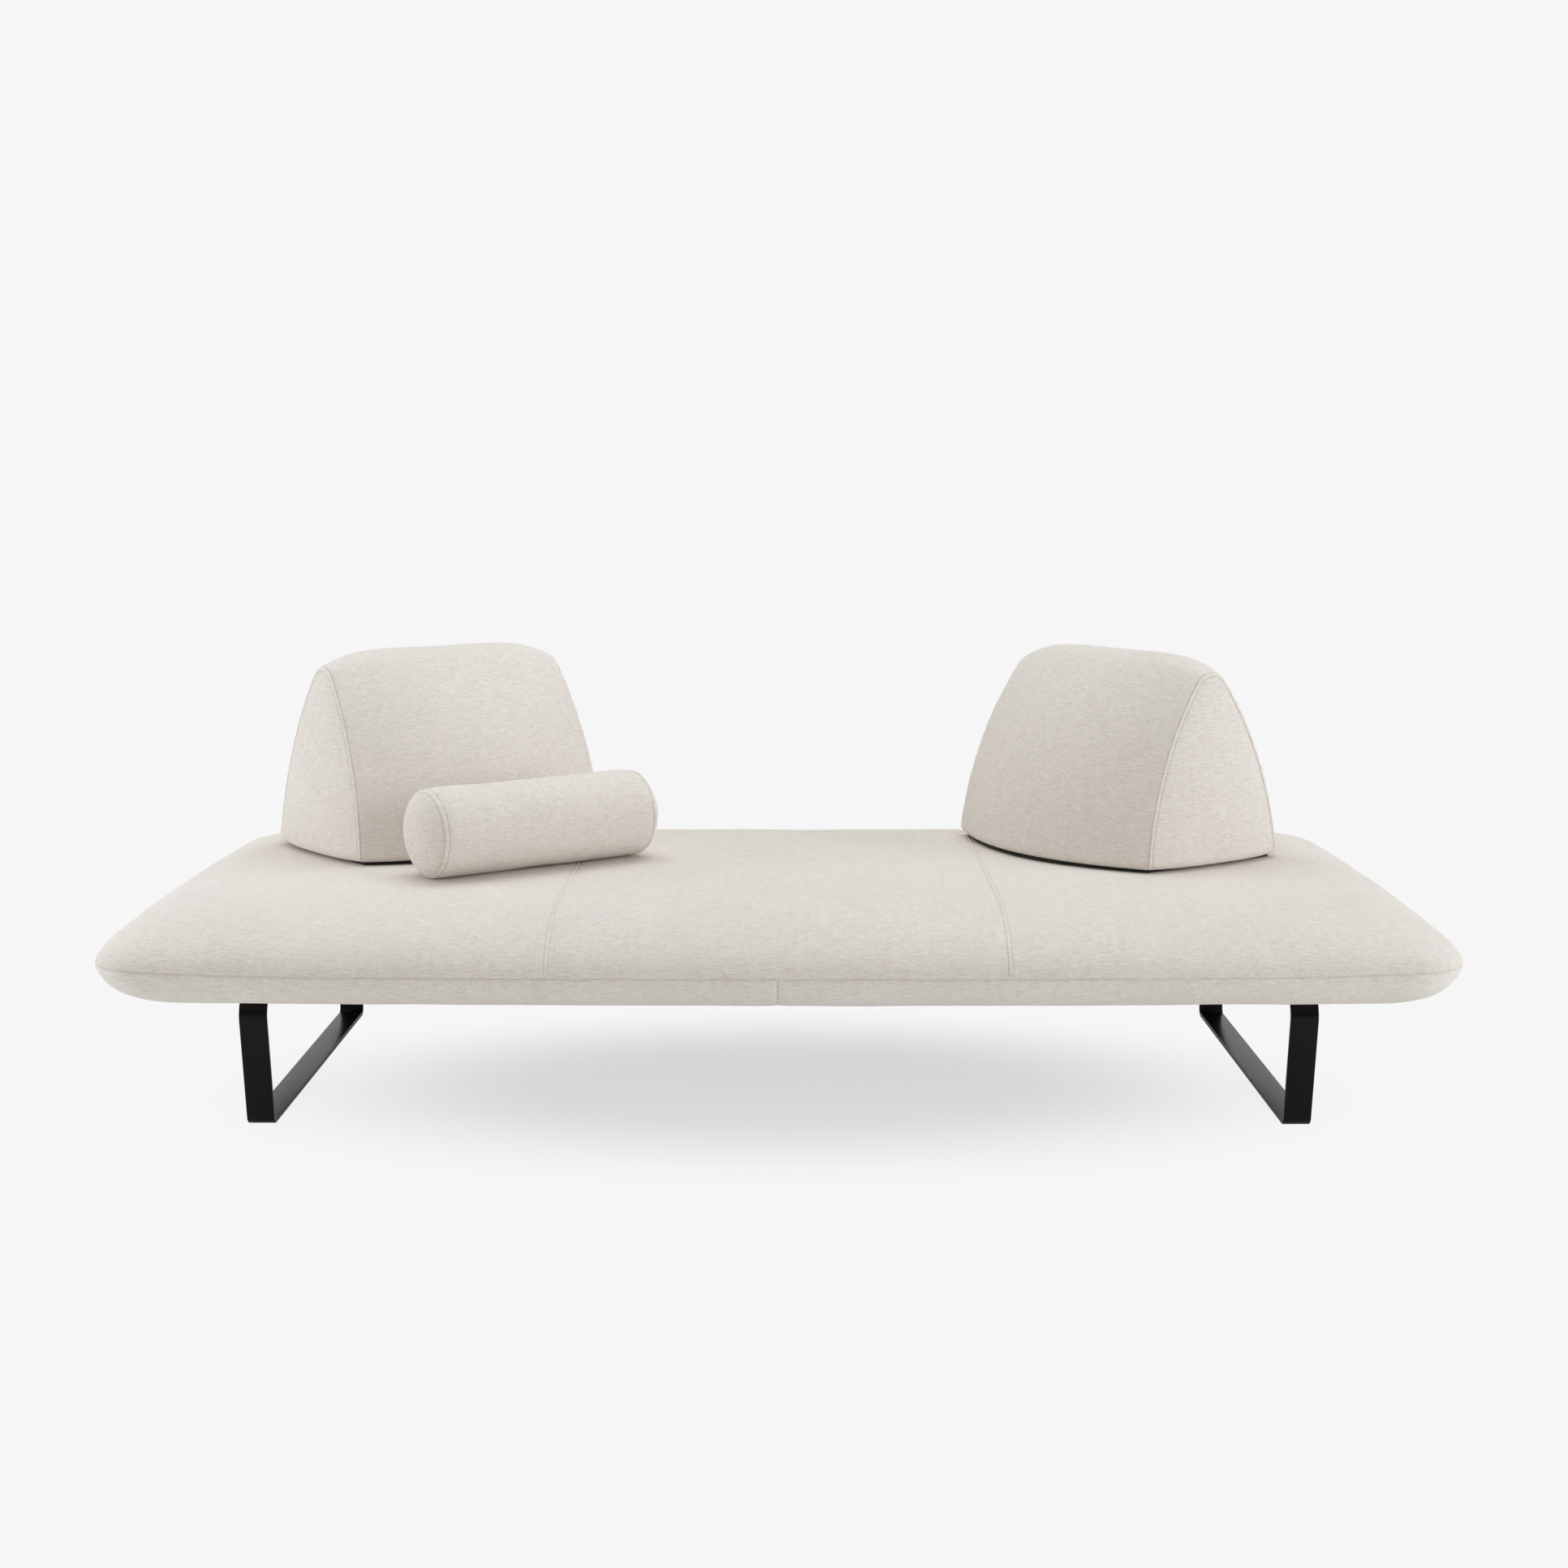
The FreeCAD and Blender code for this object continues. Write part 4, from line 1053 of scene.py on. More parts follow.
def back_skin(panel, sides, uv_panel, uv_sides, panel_painted_shading=0.0, sides_painted_shading=(0.0, 0.0)):
    """Welds a backrest's grids and closes its underside."""
    skin = Skin()
    # Each point carries its painted seam shade and highlight.
    panel_ids = skin.points(panel, panel_painted_shading)
    skin.grid(panel_ids, uv_panel)
    side_ids = []
    for end, side, uv, seam in zip((0, -1), sides, uv_sides, sides_painted_shading):
        rows, columns = side.shape[:2]
        ids = np.empty((rows, columns), int)
        ids[:, 0], ids[:, -1] = panel_ids[end, :rows], panel_ids[end, ::-1][:rows]
        ids[-1] = panel_ids[end, rows - 1]
        seam = np.broadcast_to(seam, (rows, columns))
        ids[:-1, 1:-1] = skin.points(side[:-1, 1:-1], seam[:-1, 1:-1])
        skin.grid(ids, uv)
        side_ids.append(ids)
    left, right = sides[0][0], sides[1][0]
    base = np.empty((len(panel), len(left)), int)
    base[0], base[-1] = side_ids[0][0], side_ids[1][0]
    base[:, 0], base[:, -1] = panel_ids[:, 0], panel_ids[:, -1]
    share = (left[:, 1] - left[0, 1]) / (left[-1, 1] - left[0, 1])
    front, rear = panel[1:-1, :1], panel[1:-1, -1:]
    inner = front * (1 - share[None, 1:-1, None]) + rear * share[None, 1:-1, None]
    lean = (right[:, 0] - right[0, 0])[1:-1]
    reach = panel[1:-1, 0, 0] / panel[-1, 0, 0]
    inner[..., 0] += np.sign(reach)[:, None] * (np.abs(reach) ** 6)[:, None] * lean[None]
    base[1:-1, 1:-1] = skin.points(inner)
    skin.grid(base, skin.co()[base][..., :2])
    return skin, panel_ids, side_ids


def back_swell():
    """Swelling of a backrest's cover and side panels on a coarse cover, and its rows and columns."""
    shares = np.linspace(-1, 1, 27)
    panel = back_panel(shares, *BACK_COARSE)
    sides = [back_side(sign, np.array([0, 0.016]), np.linspace(-1, 1, 13)[1:-1], *BACK_COARSE)
             for sign in (-1, 1)]
    places = (sides[0][:, 0, 2] / sides[0][-1, 0, 2], sides[0][0, :, 1] / sides[0][0, -1, 1])
    length = run_length(panel, 1)[len(shares) // 2]
    panel, sides = tuck(panel), [tuck(side) for side in sides]
    blank = [np.zeros(grid.shape[:2] + (2,)) for grid in (panel, *sides)]
    skin, panel_ids, side_ids = back_skin(panel, sides, blank[0], blank[1:])
    held = set(np.nonzero(skin.co()[:, 2] < 0.004)[0].tolist())
    held.update(panel_ids[0].tolist(), panel_ids[-1].tolist())
    travel = swelling(skin, sorted(held))
    return (shares, length / length[-1]), travel[panel_ids], places, [travel[ids] for ids in side_ids]


def cover_relief(shares, swollen, seed):
    """The cover panel swelled, sunk at its seams and rounded under; its UV map and its painted seam
    shade.
    """
    seams = bpy.context.scene.sofa_seams
    panel = back_panel(shares, *BACK_FINE)
    length = run_length(panel, 1)
    middle = length[len(shares) // 2]
    rows = middle / middle[-1]
    travel = resample_grid(swollen[1], swollen[0], (shares, rows))
    e = (1 - np.abs(shares))[:, None] * BACK_HALF
    foot = np.minimum(length, length[:, -1:] - length)
    ripples = seams.pucker * ripple(length, e * 0.2, 0.024, seed) * np.exp(-e / 0.014)
    uneven = (0.0005 * ripple(panel[..., 0], length, 0.26, seed + 1)
              * step(0.01, 0.06, e) * step(0.0, 0.05, foot))
    full = 0.0015 * np.sin(np.clip(2.0 * np.minimum(rows, 1 - rows), 0, 1) * math.pi)[None] ** 1.5
    lift = (travel * 0.8 - 0.0020 * step(0.0, 0.05, e) * step(0.0, 0.06, foot) + full
            - seams.groove * 0.9 * bump(e, 0.0016) + ripples + uneven)
    out = grid_normals(panel)
    out *= np.sign((out * panel).sum(-1, keepdims=True).mean())
    done = tuck(panel + out * (lift * step(0.0, 0.012, foot))[..., None])
    uv = np.stack(np.broadcast_arrays(panel[..., 0], middle[None]), -1)
    return done, uv, np.broadcast_to(SIDE_SHADE * bump(e, 0.0012), panel.shape[:2])


def side_relief(which, edge, swollen, seed):
    """A side panel with its felled seam, on the cover's edge; its UV map, painted seam shade and
    highlight, and stitch line.
    """
    seams = bpy.context.scene.sofa_seams
    sign = (-1, 1)[which]
    grid = back_side(sign, EDGE_STEPS, np.linspace(-1, 1, 27)[1:-1], *BACK_FINE)
    z, y = grid[..., 2], grid[..., 1]
    travel = resample_grid(swollen[3][which], swollen[2], (z[:, 0] / z[-1, 0], y[0] / y[0, -1]))
    e = edge_distance(grid)
    line = e - seams.ridge - SIDE_LINE
    ridge = 0.0014 * step(0.0, 0.0022, e) * (1 - step(seams.ridge - 0.0018, seams.ridge + 0.0002, e))
    ridge = ridge - seams.groove * bump(line, 0.0014)
    ripples = 0.6 * seams.pucker * ripple(y * 1.5, z * 1.5, 0.03, seed + 5 + which) * np.exp(-e / 0.012)
    lift = ridge + ripples + travel * 0.6 - 0.0012 * step(0.0, 0.06, e)
    moved = grid.copy()
    moved[..., 0] += sign * lift * step(0.0, 0.010, z)
    moved = tuck(moved)
    count = len(moved)
    moved[:, 0], moved[:, -1] = edge[:count], edge[::-1][:count]
    uv = np.stack([sign * y + 1.0 + which, z], -1)
    # Painted shade at the stitch line and at the seam's edge, and a painted highlight on the ridge
    # between them.
    shade = (1.1 * bump(line, 0.0012) + SIDE_SHADE * bump(e, 0.0012)
             - 0.45 * bump(e - seams.ridge / 2, 0.0020))
    y, z = arch_rows(1.0, seams.ridge + SIDE_LINE, *BACK_FINE)
    wide = np.interp(z, grid[:, 0, 2], -grid[:, 0, 1])
    x = side_reach(y, z, wide) - seams.groove + 0.0004
    above = len(FOOT_ROWS) - 1
    return moved, uv, shade, np.column_stack([sign * x, y, z])[above:-above]


def build_backrest(side, swollen):
    name, seed = side + "_backrest_", BACK_SEED[side]
    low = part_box(side + "_backrest_cover")[0]
    edge = np.concatenate([EDGE_STEPS[[0, 1, 2, 4, 6, 8, 10]], [0.021, 0.031],
                           np.arange(0.044, BACK_HALF, 0.0135)])
    shares = 1 - edge / BACK_HALF
    shares = np.unique(np.round(np.concatenate([shares, -shares, [0.0]]), 6))
    panel, uv_panel, panel_painted_shading = cover_relief(shares, swollen, seed)
    sides, uv_sides, sides_painted_shading, lines = zip(*(
        side_relief(which, panel[end], swollen, seed) for which, end in ((0, 0), (1, -1))))
    skin = back_skin(panel, sides, uv_panel, uv_sides, panel_painted_shading, sides_painted_shading)[0]
    spot = joint_spot(side + "_backrest_turn")
    lie = (math.radians(BACK_YAW[side]), (spot[0], spot[1], low[2]))
    cushion = place(skin.mesh(name + "cushion", set_down(skin.co(), *lie)), finish("backrest_cloth"),
                    side + "_backrest",
                    (name + "cover", name + "side_left", name + "side_right", name + "foam"))
    sew(name + "stitches", [set_down(line, *lie) for line in lines], side + "_backrest")
    build_grip_pad(side, lie)


def build_grip_pad(side, lie):
    """The ribbed rubber pad under a backrest, its rim a little inside the cover's foot."""
    name = side + "_backrest_grip_pad"
    low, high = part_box(name)
    thick = high[2] - low[2] - 0.0002
    shares, depths = np.linspace(-1, 1, PAD_ACROSS), np.linspace(-1, 1, PAD_DEEP)
    reach = (BACK_MIDDLE - (BACK_MIDDLE - BACK_ENDS) * shares ** 2) / 2 - 0.003
    rings = []
    for more, z in ((0.0012, -thick), (0.0003, 0.0006 - thick), (0.0, -thick / 2),
                    (0.0003, -0.0007), (0.0012, -0.0001)):
        inset = PAD_INSET + more
        x = shares * (BACK_HALF - inset)
        front = np.column_stack([x, inset - reach])
        right = np.column_stack([np.full(PAD_DEEP - 2, x[-1]), depths[1:-1] * (reach[-1] - inset)])
        rings.append(level(np.concatenate([front, right, -front, -right]), z))
    rings = np.array(rings)
    skin = Skin()
    ids = skin.points(rings)
    skin.grid(wrap(ids), wrap(rings[..., :2] + rings[..., 2:]))
    share = (depths[:, None, None] + 1) / 2
    ribs = np.where(np.arange(PAD_DEEP)[:, None] % 2 == 1, PAD_RIB, 0.0)
    rear = PAD_ACROSS + PAD_DEEP - 2  # where the rear side starts in a ring, and where it ends
    end = rear + PAD_ACROSS
    for which, rib in ((0, ribs), (-1, 0.0)):
        ring, kept = rings[which], wrap(ids)[which]
        co = ring[:PAD_ACROSS] * (1 - share) + ring[rear:end][::-1] * share
        co[..., 2] += rib
        grid = np.empty((PAD_DEEP, PAD_ACROSS), int)
        grid[1:-1, 1:-1] = skin.points(co[1:-1, 1:-1])
        grid[0], grid[-1] = kept[:PAD_ACROSS], kept[rear:end][::-1]
        grid[:, 0], grid[:, -1] = kept[end - 1:][::-1], kept[PAD_ACROSS - 1:rear + 1]
        skin.grid(grid, co[..., :2])
    mesh = skin.mesh(side + "_backrest_pad", set_down(skin.co(), *lie))
    place(mesh, finish("grip_rubber"), side + "_backrest", (name,))


# Bolster, in metres


BOLSTER_R, BOLSTER_HALF, BOLSTER_BULGE = 0.087, 0.2375, 0.028
BOLSTER_LOW = -BOLSTER_R + 0.0003  # its cover stays just off the seat
BOLSTER_YAW = 37.0
END_LINE = 0.0094  # from the sleeve's rim in to its stitch line
END_STEPS = np.array([0, 0.001, 0.0022, 0.0036, 0.0052, 0.0068, 0.0082, 0.0094, 0.0106, 0.013, 0.018,
                      0.026])


def bolster_form(places, turns, rims):
    """Sleeve and two crowned ends of the bolster along its own axis."""
    c, s = np.cos(turns), np.sin(turns)
    sleeve = np.stack(np.broadcast_arrays(places[:, None], BOLSTER_R * c[None], BOLSTER_R * s[None]), -1)
    ball = (BOLSTER_R ** 2 + BOLSTER_BULGE ** 2) / (2 * BOLSTER_BULGE)
    r = (BOLSTER_R * rims)[:, None]
    x = BOLSTER_HALF + BOLSTER_BULGE - ball + np.sqrt(ball ** 2 - r ** 2)
    return sleeve, [np.stack(np.broadcast_arrays(sign * x, r * c, r * s), -1) for sign in (-1, 1)]


def bolster_skin(sleeve, ends, uv_sleeve, uv_ends, seam=0.0):
    """Welds the sleeve to its ends and closes each end with a pole."""
    skin = Skin()
    # Each sleeve point carries its painted seam shade and highlight.
    sleeve_ids = skin.points(sleeve, seam)
    skin.grid(wrap(sleeve_ids), uv_sleeve)
    kept = []
    for end, which, uv in zip(ends, (0, -1), uv_ends):
        ids = np.empty(end.shape[:2], int)
        ids[0] = sleeve_ids[which]
        ids[1:] = skin.points(end[1:])
        pole = skin.points(end[-1:].mean(1) + (end[-1:].mean(1) - end[-2:-1].mean(1)) * (0.3, 1, 1))
        shown = np.concatenate([wrap(ids), np.full((1, ids.shape[1] + 1), pole[0])])
        spot = np.concatenate([wrap(uv), np.zeros((1, ids.shape[1] + 1, 2)) + uv.mean((0, 1))])
        skin.grid(shown, spot)
        kept.append(ids)
    return skin, sleeve_ids, kept


def bolster_swell():
    """Swelling of the sleeve and the ends on a coarse cover, and its rows and columns."""
    places = np.linspace(-BOLSTER_HALF, BOLSTER_HALF, 25)
    turns = np.linspace(0, math.tau, 49)
    rims = np.array([1, 0.9, 0.76, 0.6, 0.42, 0.24, 0.1])
    sleeve, ends = bolster_form(places, turns[:-1], rims)
    blank = [np.zeros(grid.shape[:2] + (2,)) for grid in (wrap(sleeve), *ends)]
    skin, sleeve_ids, end_ids = bolster_skin(sleeve, ends, blank[0], blank[1:])
    travel = swelling(skin, sleeve_ids[0].tolist() + sleeve_ids[-1].tolist())
    return ((places, turns), wrap(travel[sleeve_ids]), (1 - rims, turns),
            [wrap(travel[ids]) for ids in end_ids])


def sleeve_relief(places, turns, sleeve, travel):
    """The sleeve swelled, drawn in at its rims and felled; its outward ways and its painted seam shade
    and highlight.
    """
    seams = bpy.context.scene.sofa_seams
    e = (BOLSTER_HALF - np.abs(places))[:, None]
    ridge = 0.0012 * step(0.0, 0.0024, e) * (1 - step(0.0070, 0.0092, e))
    ridge = ridge - 0.9 * seams.groove * bump(e - END_LINE, 0.0012)
    ripples = ripple(np.cos(turns)[None] * BOLSTER_R + e, np.sin(turns)[None] * BOLSTER_R, 0.02, 71)
    ripples = seams.pucker * ripples * np.exp(-np.abs(e - 0.009) / 0.013)
    uneven = 0.0006 * ripple(places[:, None], turns[None] * BOLSTER_R, 0.14, 72) * step(0.01, 0.05, e)
    pull = -0.0075 * np.exp(-e / 0.010) - 0.0008 * step(0.0, 0.10, e)
    out = sleeve * (0, 1, 1) / BOLSTER_R
    done = sleeve + out * (ridge + ripples + uneven + pull + travel * 0.75)[..., None]
    done[..., 2] = np.maximum(done[..., 2], BOLSTER_LOW)
    # Painted shade at the stitch line and at the rim seam, and a painted highlight on the ridge between
    # them.
    shade = (1.2 * bump(e - END_LINE, 0.0012) + 1.3 * bump(e, 0.0012)
             - 0.4 * bump(e - END_LINE / 2, 0.0024))
    return done, out, np.broadcast_to(shade, done.shape[:2])


def end_relief(which, grid, rims, travel, rim):
    """An end swelled and drawn in to the sleeve's rim, and its UV map."""
    sign = (-1, 1)[which]
    r = rims[:, None]
    lift = travel * 0.6 - 0.002 * (1 - r) + 0.0004 * ripple(grid[..., 1], grid[..., 2], 0.05, 75 + which)
    moved = grid.copy()
    moved[..., 0] += sign * lift * step(0.0, 0.12, 1 - r)
    shrink = np.linalg.norm(rim[:, 1:], axis=1) / BOLSTER_R
    moved[..., 1:] *= (1 + (shrink[None] - 1) * r ** 3)[..., None]
    moved[0] = rim
    moved[..., 2] = np.maximum(moved[..., 2], BOLSTER_LOW)
    return moved, grid[..., 1:] * (sign, 1) + (1.0 + which, 0)


def build_bolster():
    have_sleeve, sleeve_travel, have_end, end_travel = bolster_swell()
    inner = np.linspace(-BOLSTER_HALF + 0.034, BOLSTER_HALF - 0.034, 33)
    places = np.concatenate([END_STEPS - BOLSTER_HALF, inner, BOLSTER_HALF - END_STEPS])
    places = np.unique(np.round(places, 6))
    turns = np.linspace(0, math.tau, 145)[:-1]
    rims = np.concatenate([[1, 0.985, 0.965, 0.94, 0.91], np.linspace(0.87, 0.05, 16)])
    sleeve, ends = bolster_form(places, turns, rims)
    travel = resample_grid(sleeve_travel, have_sleeve, (places, turns))
    done, out, seam = sleeve_relief(places, turns, sleeve, travel)
    done_ends, uv_ends = [], []
    for which, rim in ((0, done[0]), (1, done[-1])):
        travel = resample_grid(end_travel[which], have_end, (1 - rims, turns))
        moved, uv = end_relief(which, ends[which], rims, travel, rim)
        done_ends.append(moved)
        uv_ends.append(uv)
    around = np.append(turns, math.tau) * BOLSTER_R
    uv = np.stack(np.broadcast_arrays(places[:, None], around[None]), -1)
    skin = bolster_skin(done, done_ends, uv, uv_ends, seam)[0]
    lie = (math.radians(BOLSTER_YAW), joint_spot("bolster_roll"))
    cushion = place(skin.mesh("bolster_cushion", set_down(skin.co(), *lie)), finish("bolster_cloth"),
                    "bolster", ("bolster_cover", "bolster_end_left", "bolster_end_right"))
    lines = []
    for line in (-BOLSTER_HALF + END_LINE, BOLSTER_HALF - END_LINE):
        row = int(np.argmin(np.abs(places - line)))
        ring = done[row] + out[row] * 0.0003
        lines.append(set_down(np.concatenate([ring, ring[:1]]), *lie))
    sew("bolster_stitches", lines, "bolster")
    build_bolster_core(lie)


def build_bolster_core(lie):
    """The foam roll inside the bolster, its two rims rounded off."""
    low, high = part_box("bolster_core")
    radius, half, edge = (high[2] - low[2]) / 2 - 0.0006, BOLSTER_HALF - 0.002, 0.016
    rim = [(radius - edge * (1 - math.sin(a)), half - edge * (1 - math.cos(a)))
           for a in np.radians(np.linspace(0, 90, 9))]
    outline = [(radius * 0.5, half)] + rim
    outline += [(radius, x) for x in np.linspace(half - edge, edge - half, 22)[1:-1]]
    outline += [(r, -x) for r, x in rim[::-1]] + [(radius * 0.5, -half)]
    skin = lathe(outline, 72)
    mesh = skin.mesh("bolster_foam_roll", set_down(skin.co()[:, [2, 0, 1]], *lie))
    place(mesh, finish("foam"), "bolster_filling", ("bolster_core",))


# Legs and fittings, in metres


LEG_BAR, LEG_WIDTH, LEG_LEAN = 0.008, 0.050, 0.042  # thick, wide, and how far a post leans out
LEG_FOOT, LEG_TAIL = 0.410, 0.285  # half the runner, and in to the ends under the seat
TOP_BEND, FOOT_BEND = 0.045, 0.018
SCREW_Y, GLIDE_Y = (-0.36, -0.31, 0.31, 0.36), (-0.345, 0.345)
PLATE_X = 0.945  # the leg plates, from the seat's middle
CUT_X, CUT_Y = (PLATE_X - 0.031, PLATE_X + 0.031), (0.281, 0.389)  # cloth cut out round a plate
STAPLE_IN = 0.011  # from the cloth's edge in to its staples


def leg_path():
    """The outer face of a leg's flat bar in (y, z), its bends rounded, with inward normals."""
    low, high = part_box("sled_leg_left")
    floor, top, crest = low[2], high[2], LEG_FOOT + LEG_LEAN
    corners = [np.array(c) for c in ((-LEG_TAIL, top), (-crest, top), (-LEG_FOOT, floor),
                                     (LEG_FOOT, floor), (crest, top), (LEG_TAIL, top))]
    radii = (TOP_BEND, FOOT_BEND, FOOT_BEND, TOP_BEND)
    points, normals = [], []

    def straight(a, b):
        way = unit(b - a)
        count = max(2, int(np.linalg.norm(b - a) / 0.02))
        for t in np.linspace(0, 1, count):
            points.append(a + (b - a) * t)
            normals.append(np.array([-way[1], way[0]]))

    start = corners[0]
    for before, corner, after, radius in zip(corners, corners[1:], corners[2:], radii):
        a, b = unit(before - corner), unit(after - corner)
        half = math.acos(np.clip(a @ b, -1, 1)) / 2
        reach = radius / math.tan(half)
        middle = corner + unit(a + b) * radius / math.sin(half)
        first, last = corner + a * reach, corner + b * reach
        straight(start, first)
        for t in np.linspace(0, 1, 13)[1:-1]:
            arm = unit((first - middle) * (1 - t) + (last - middle) * t)
            points.append(middle + arm * radius)
            normals.append(-arm)
        start = last
    straight(start, corners[-1])
    return np.array(points), np.array(normals)


def bar_profile(edge):
    """Flat bar's section: (across, depth) round its four rounded edges."""
    across, deep = LEG_WIDTH / 2 - edge, LEG_BAR - edge
    section = []
    for cx, cy, start in ((across, deep, 0), (-across, deep, 90), (-across, edge, 180),
                          (across, edge, 270)):
        for a in np.radians(start + np.linspace(0, 90, 5)):
            section.append((cx + edge * math.cos(a), cy + edge * math.sin(a)))
    return np.array(section)


def leg_centre(side):
    low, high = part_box("sled_leg_" + side)
    return (low[0] + high[0]) / 2


def build_legs():
    edge = bpy.context.scene.sofa_legs.edge
    path, inward = leg_path()
    section = bar_profile(edge)

    def ring(centre, i, shrink=0.0, shift=0.0):
        way = unit(path[1] - path[0]) if i == 0 else unit(path[-1] - path[-2])
        depth = LEG_BAR / 2 + (section[:, 1] - LEG_BAR / 2) * (1 - shrink / (LEG_BAR / 2))
        across = section[:, 0] * (1 - shrink / (LEG_WIDTH / 2))
        return np.column_stack([centre + across, path[i] + inward[i] * depth[:, None] + way * shift])

    for side in ("left", "right"):
        centre = leg_centre(side)
        rows = [ring(centre, 0, edge), ring(centre, 0, edge * 0.3, edge * 0.3)]
        rows += [ring(centre, i) for i in range(1, len(path) - 1)]
        rows += [ring(centre, -1, edge * 0.3, -edge * 0.3), ring(centre, -1, edge)]
        place(tube(np.array(rows)).mesh("sled_leg_%s_bar" % side), finish("powder_coat"), "seat",
              ("sled_leg_" + side,))


def lathe(outline, count):
    """A turned piece about the Z axis from (radius, height) pairs, closed flat at both ends."""
    turn = np.linspace(0, math.tau, count + 1)[:-1]
    r, z = np.asarray(outline, float).T[..., None]
    return tube(np.stack(np.broadcast_arrays(r * np.cos(turn), r * np.sin(turn), z), -1))


def screw_shape():
    """Button-head screw, its head down, with a six-sided socket."""
    turn = np.linspace(0, math.tau, 25)[:-1]
    socket = 0.0025 / np.cos((turn + math.pi / 6) % (math.pi / 3) - math.pi / 6)
    rows = [level(np.column_stack([radius * np.cos(turn), radius * np.sin(turn)]), z)
            for radius, z in ((socket, 0.0020), (socket, 0.0002), (socket * 1.08, 0.0), (0.0046, 0.00015),
                              (0.0060, 0.0010), (0.0068, 0.0024), (0.0070, 0.0040), (0.0069, 0.0045),
                              (0.0040, 0.0045), (0.0040, 0.0285), (0.0034, 0.0295))]
    mesh = tube(np.array(rows)).mesh("screw")
    mesh.polygons.foreach_set("use_smooth", [False] * len(mesh.polygons))
    return mesh


def glide_shape():
    """Floor glide: a disc with a rounded rim and a groove round its middle."""
    outline = [(0.006, 0), (0.0066, 0.0006), (0.0076, 0.0006), (0.0082, 0), (0.0175, 0),
               (0.0192, 0.0005), (0.0199, 0.0014), (0.0200, 0.0024), (0.0196, 0.003)]
    return lathe(outline, 40).mesh("glide")


def staple_shape():
    """One staple: a crown and two legs."""
    mesh = bpy.data.meshes.new("staple")
    work = bmesh.new()
    leg = (0.0011, 0.0011, 0.0022)
    for size, shift in (((0.011, 0.0011, 0.0007), (0, 0, -0.00035)), (leg, (0.005, 0, 0.0005)),
                        (leg, (-0.005, 0, 0.0005))):
        made = bmesh.ops.create_cube(work, size=1.0)
        bmesh.ops.scale(work, vec=size, verts=made["verts"])
        bmesh.ops.translate(work, vec=shift, verts=made["verts"])
    work.to_mesh(mesh)
    work.free()
    return mesh


def build_fittings():
    def on_legs(ys, z):
        return [(leg_centre(side), y, z) for side in ("left", "right") for y in ys]

    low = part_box("leg_screws")[0]
    repeat("leg_screw_set", shared("spots", spot_tree), on_legs(SCREW_Y, low[2]), [], screw_shape(),
           finish("zinc_plate"), "seat", "zinc_steel", ("leg_screws",), Seed=5)
    repeat("glide_set", shared("spots", spot_tree), on_legs(GLIDE_Y, 0.0), [], glide_shape(),
           finish("glide_nylon"), "seat", "glide_plastic", ("floor_glides",), Seed=8)
    build_underside()


def build_underside():
    """Dust cloth under the seat, cut out round the leg plates, and the staples that hold it."""
    low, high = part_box("underside_cloth")
    mid = (low[2] + high[2]) / 2
    xs, ys = (np.unique(np.concatenate([np.linspace(a, b, count), cut, np.negative(cut)]).round(6))
              for a, b, count, cut in zip(low, high, (61, 29), (CUT_X, CUT_Y)))
    x, y = np.meshgrid(xs, ys)
    edge = np.minimum(high[0] - np.abs(x), high[1] - np.abs(y))
    sag = 0.0022 * step(0.0, 0.18, edge) * (0.6 + 0.4 * ripple(x, y, 0.45, 31))
    sag *= 1 - bump(np.abs(x) - PLATE_X, 0.10)
    work = bmesh.new()
    grid = [[work.verts.new((x[i, j], y[i, j], mid - sag[i, j])) for j in range(len(xs))]
            for i in range(len(ys))]
    for i in range(len(ys) - 1):
        for j in range(len(xs) - 1):
            cx, cy = abs(xs[j] + xs[j + 1]) / 2, abs(ys[i] + ys[i + 1]) / 2
            if not (CUT_X[0] < cx < CUT_X[1] and CUT_Y[0] < cy < CUT_Y[1]):
                work.faces.new((grid[i][j], grid[i + 1][j], grid[i + 1][j + 1], grid[i][j + 1]))
    bmesh.ops.delete(work, geom=[v for v in work.verts if not v.link_faces], context="VERTS")
    mesh = bpy.data.meshes.new("underside_sheet")
    work.to_mesh(mesh)
    work.free()
    mesh.polygons.foreach_set("use_smooth", [True] * len(mesh.polygons))
    sheet = place(mesh, finish("dust_cloth_black"), "seat", ("underside_cloth",))
    wall = sheet.modifiers.new("cloth_thickness", "SOLIDIFY")
    wall.thickness = 0.0006
    wall.offset = 0.0
    left, front, right, rear = (low[0] + STAPLE_IN, low[1] + STAPLE_IN, high[0] - STAPLE_IN,
                                high[1] - STAPLE_IN)
    z = mid - 0.0004
    repeat("underside_staples", shared("rows", row_tree),
           [(left, front, z), (right, front, z), (right, rear, z), (left, rear, z)],
           [(0, 1), (1, 2), (2, 3), (3, 0)], staple_shape(), finish("zinc_plate"), "seat", "zinc_steel",
           (), Spacing=bpy.context.scene.sofa_legs.staple_pitch, Seed=11)


def dress_frame():
    """Finishes for the solids that stay as they are."""
    finishes = {
        "powder_steel": [n for n in frame["nodes"] if n.endswith("_rail")],
        "webbing": ["webbing_straps"],
        "zinc_plate": ["webbing_clips", "leg_washers", "rivet_nuts"],
        "spacer_nylon": ["leg_spacer_plates"],
        "base_ply": ["left_backrest_board", "right_backrest_board"],
        "ballast": ["left_backrest_ballast", "right_backrest_ballast"],
    }
    for name, nodes in finishes.items():
        for node in nodes:
            for slot in frame["nodes"][node].material_slots:
                slot.material = finish(name)


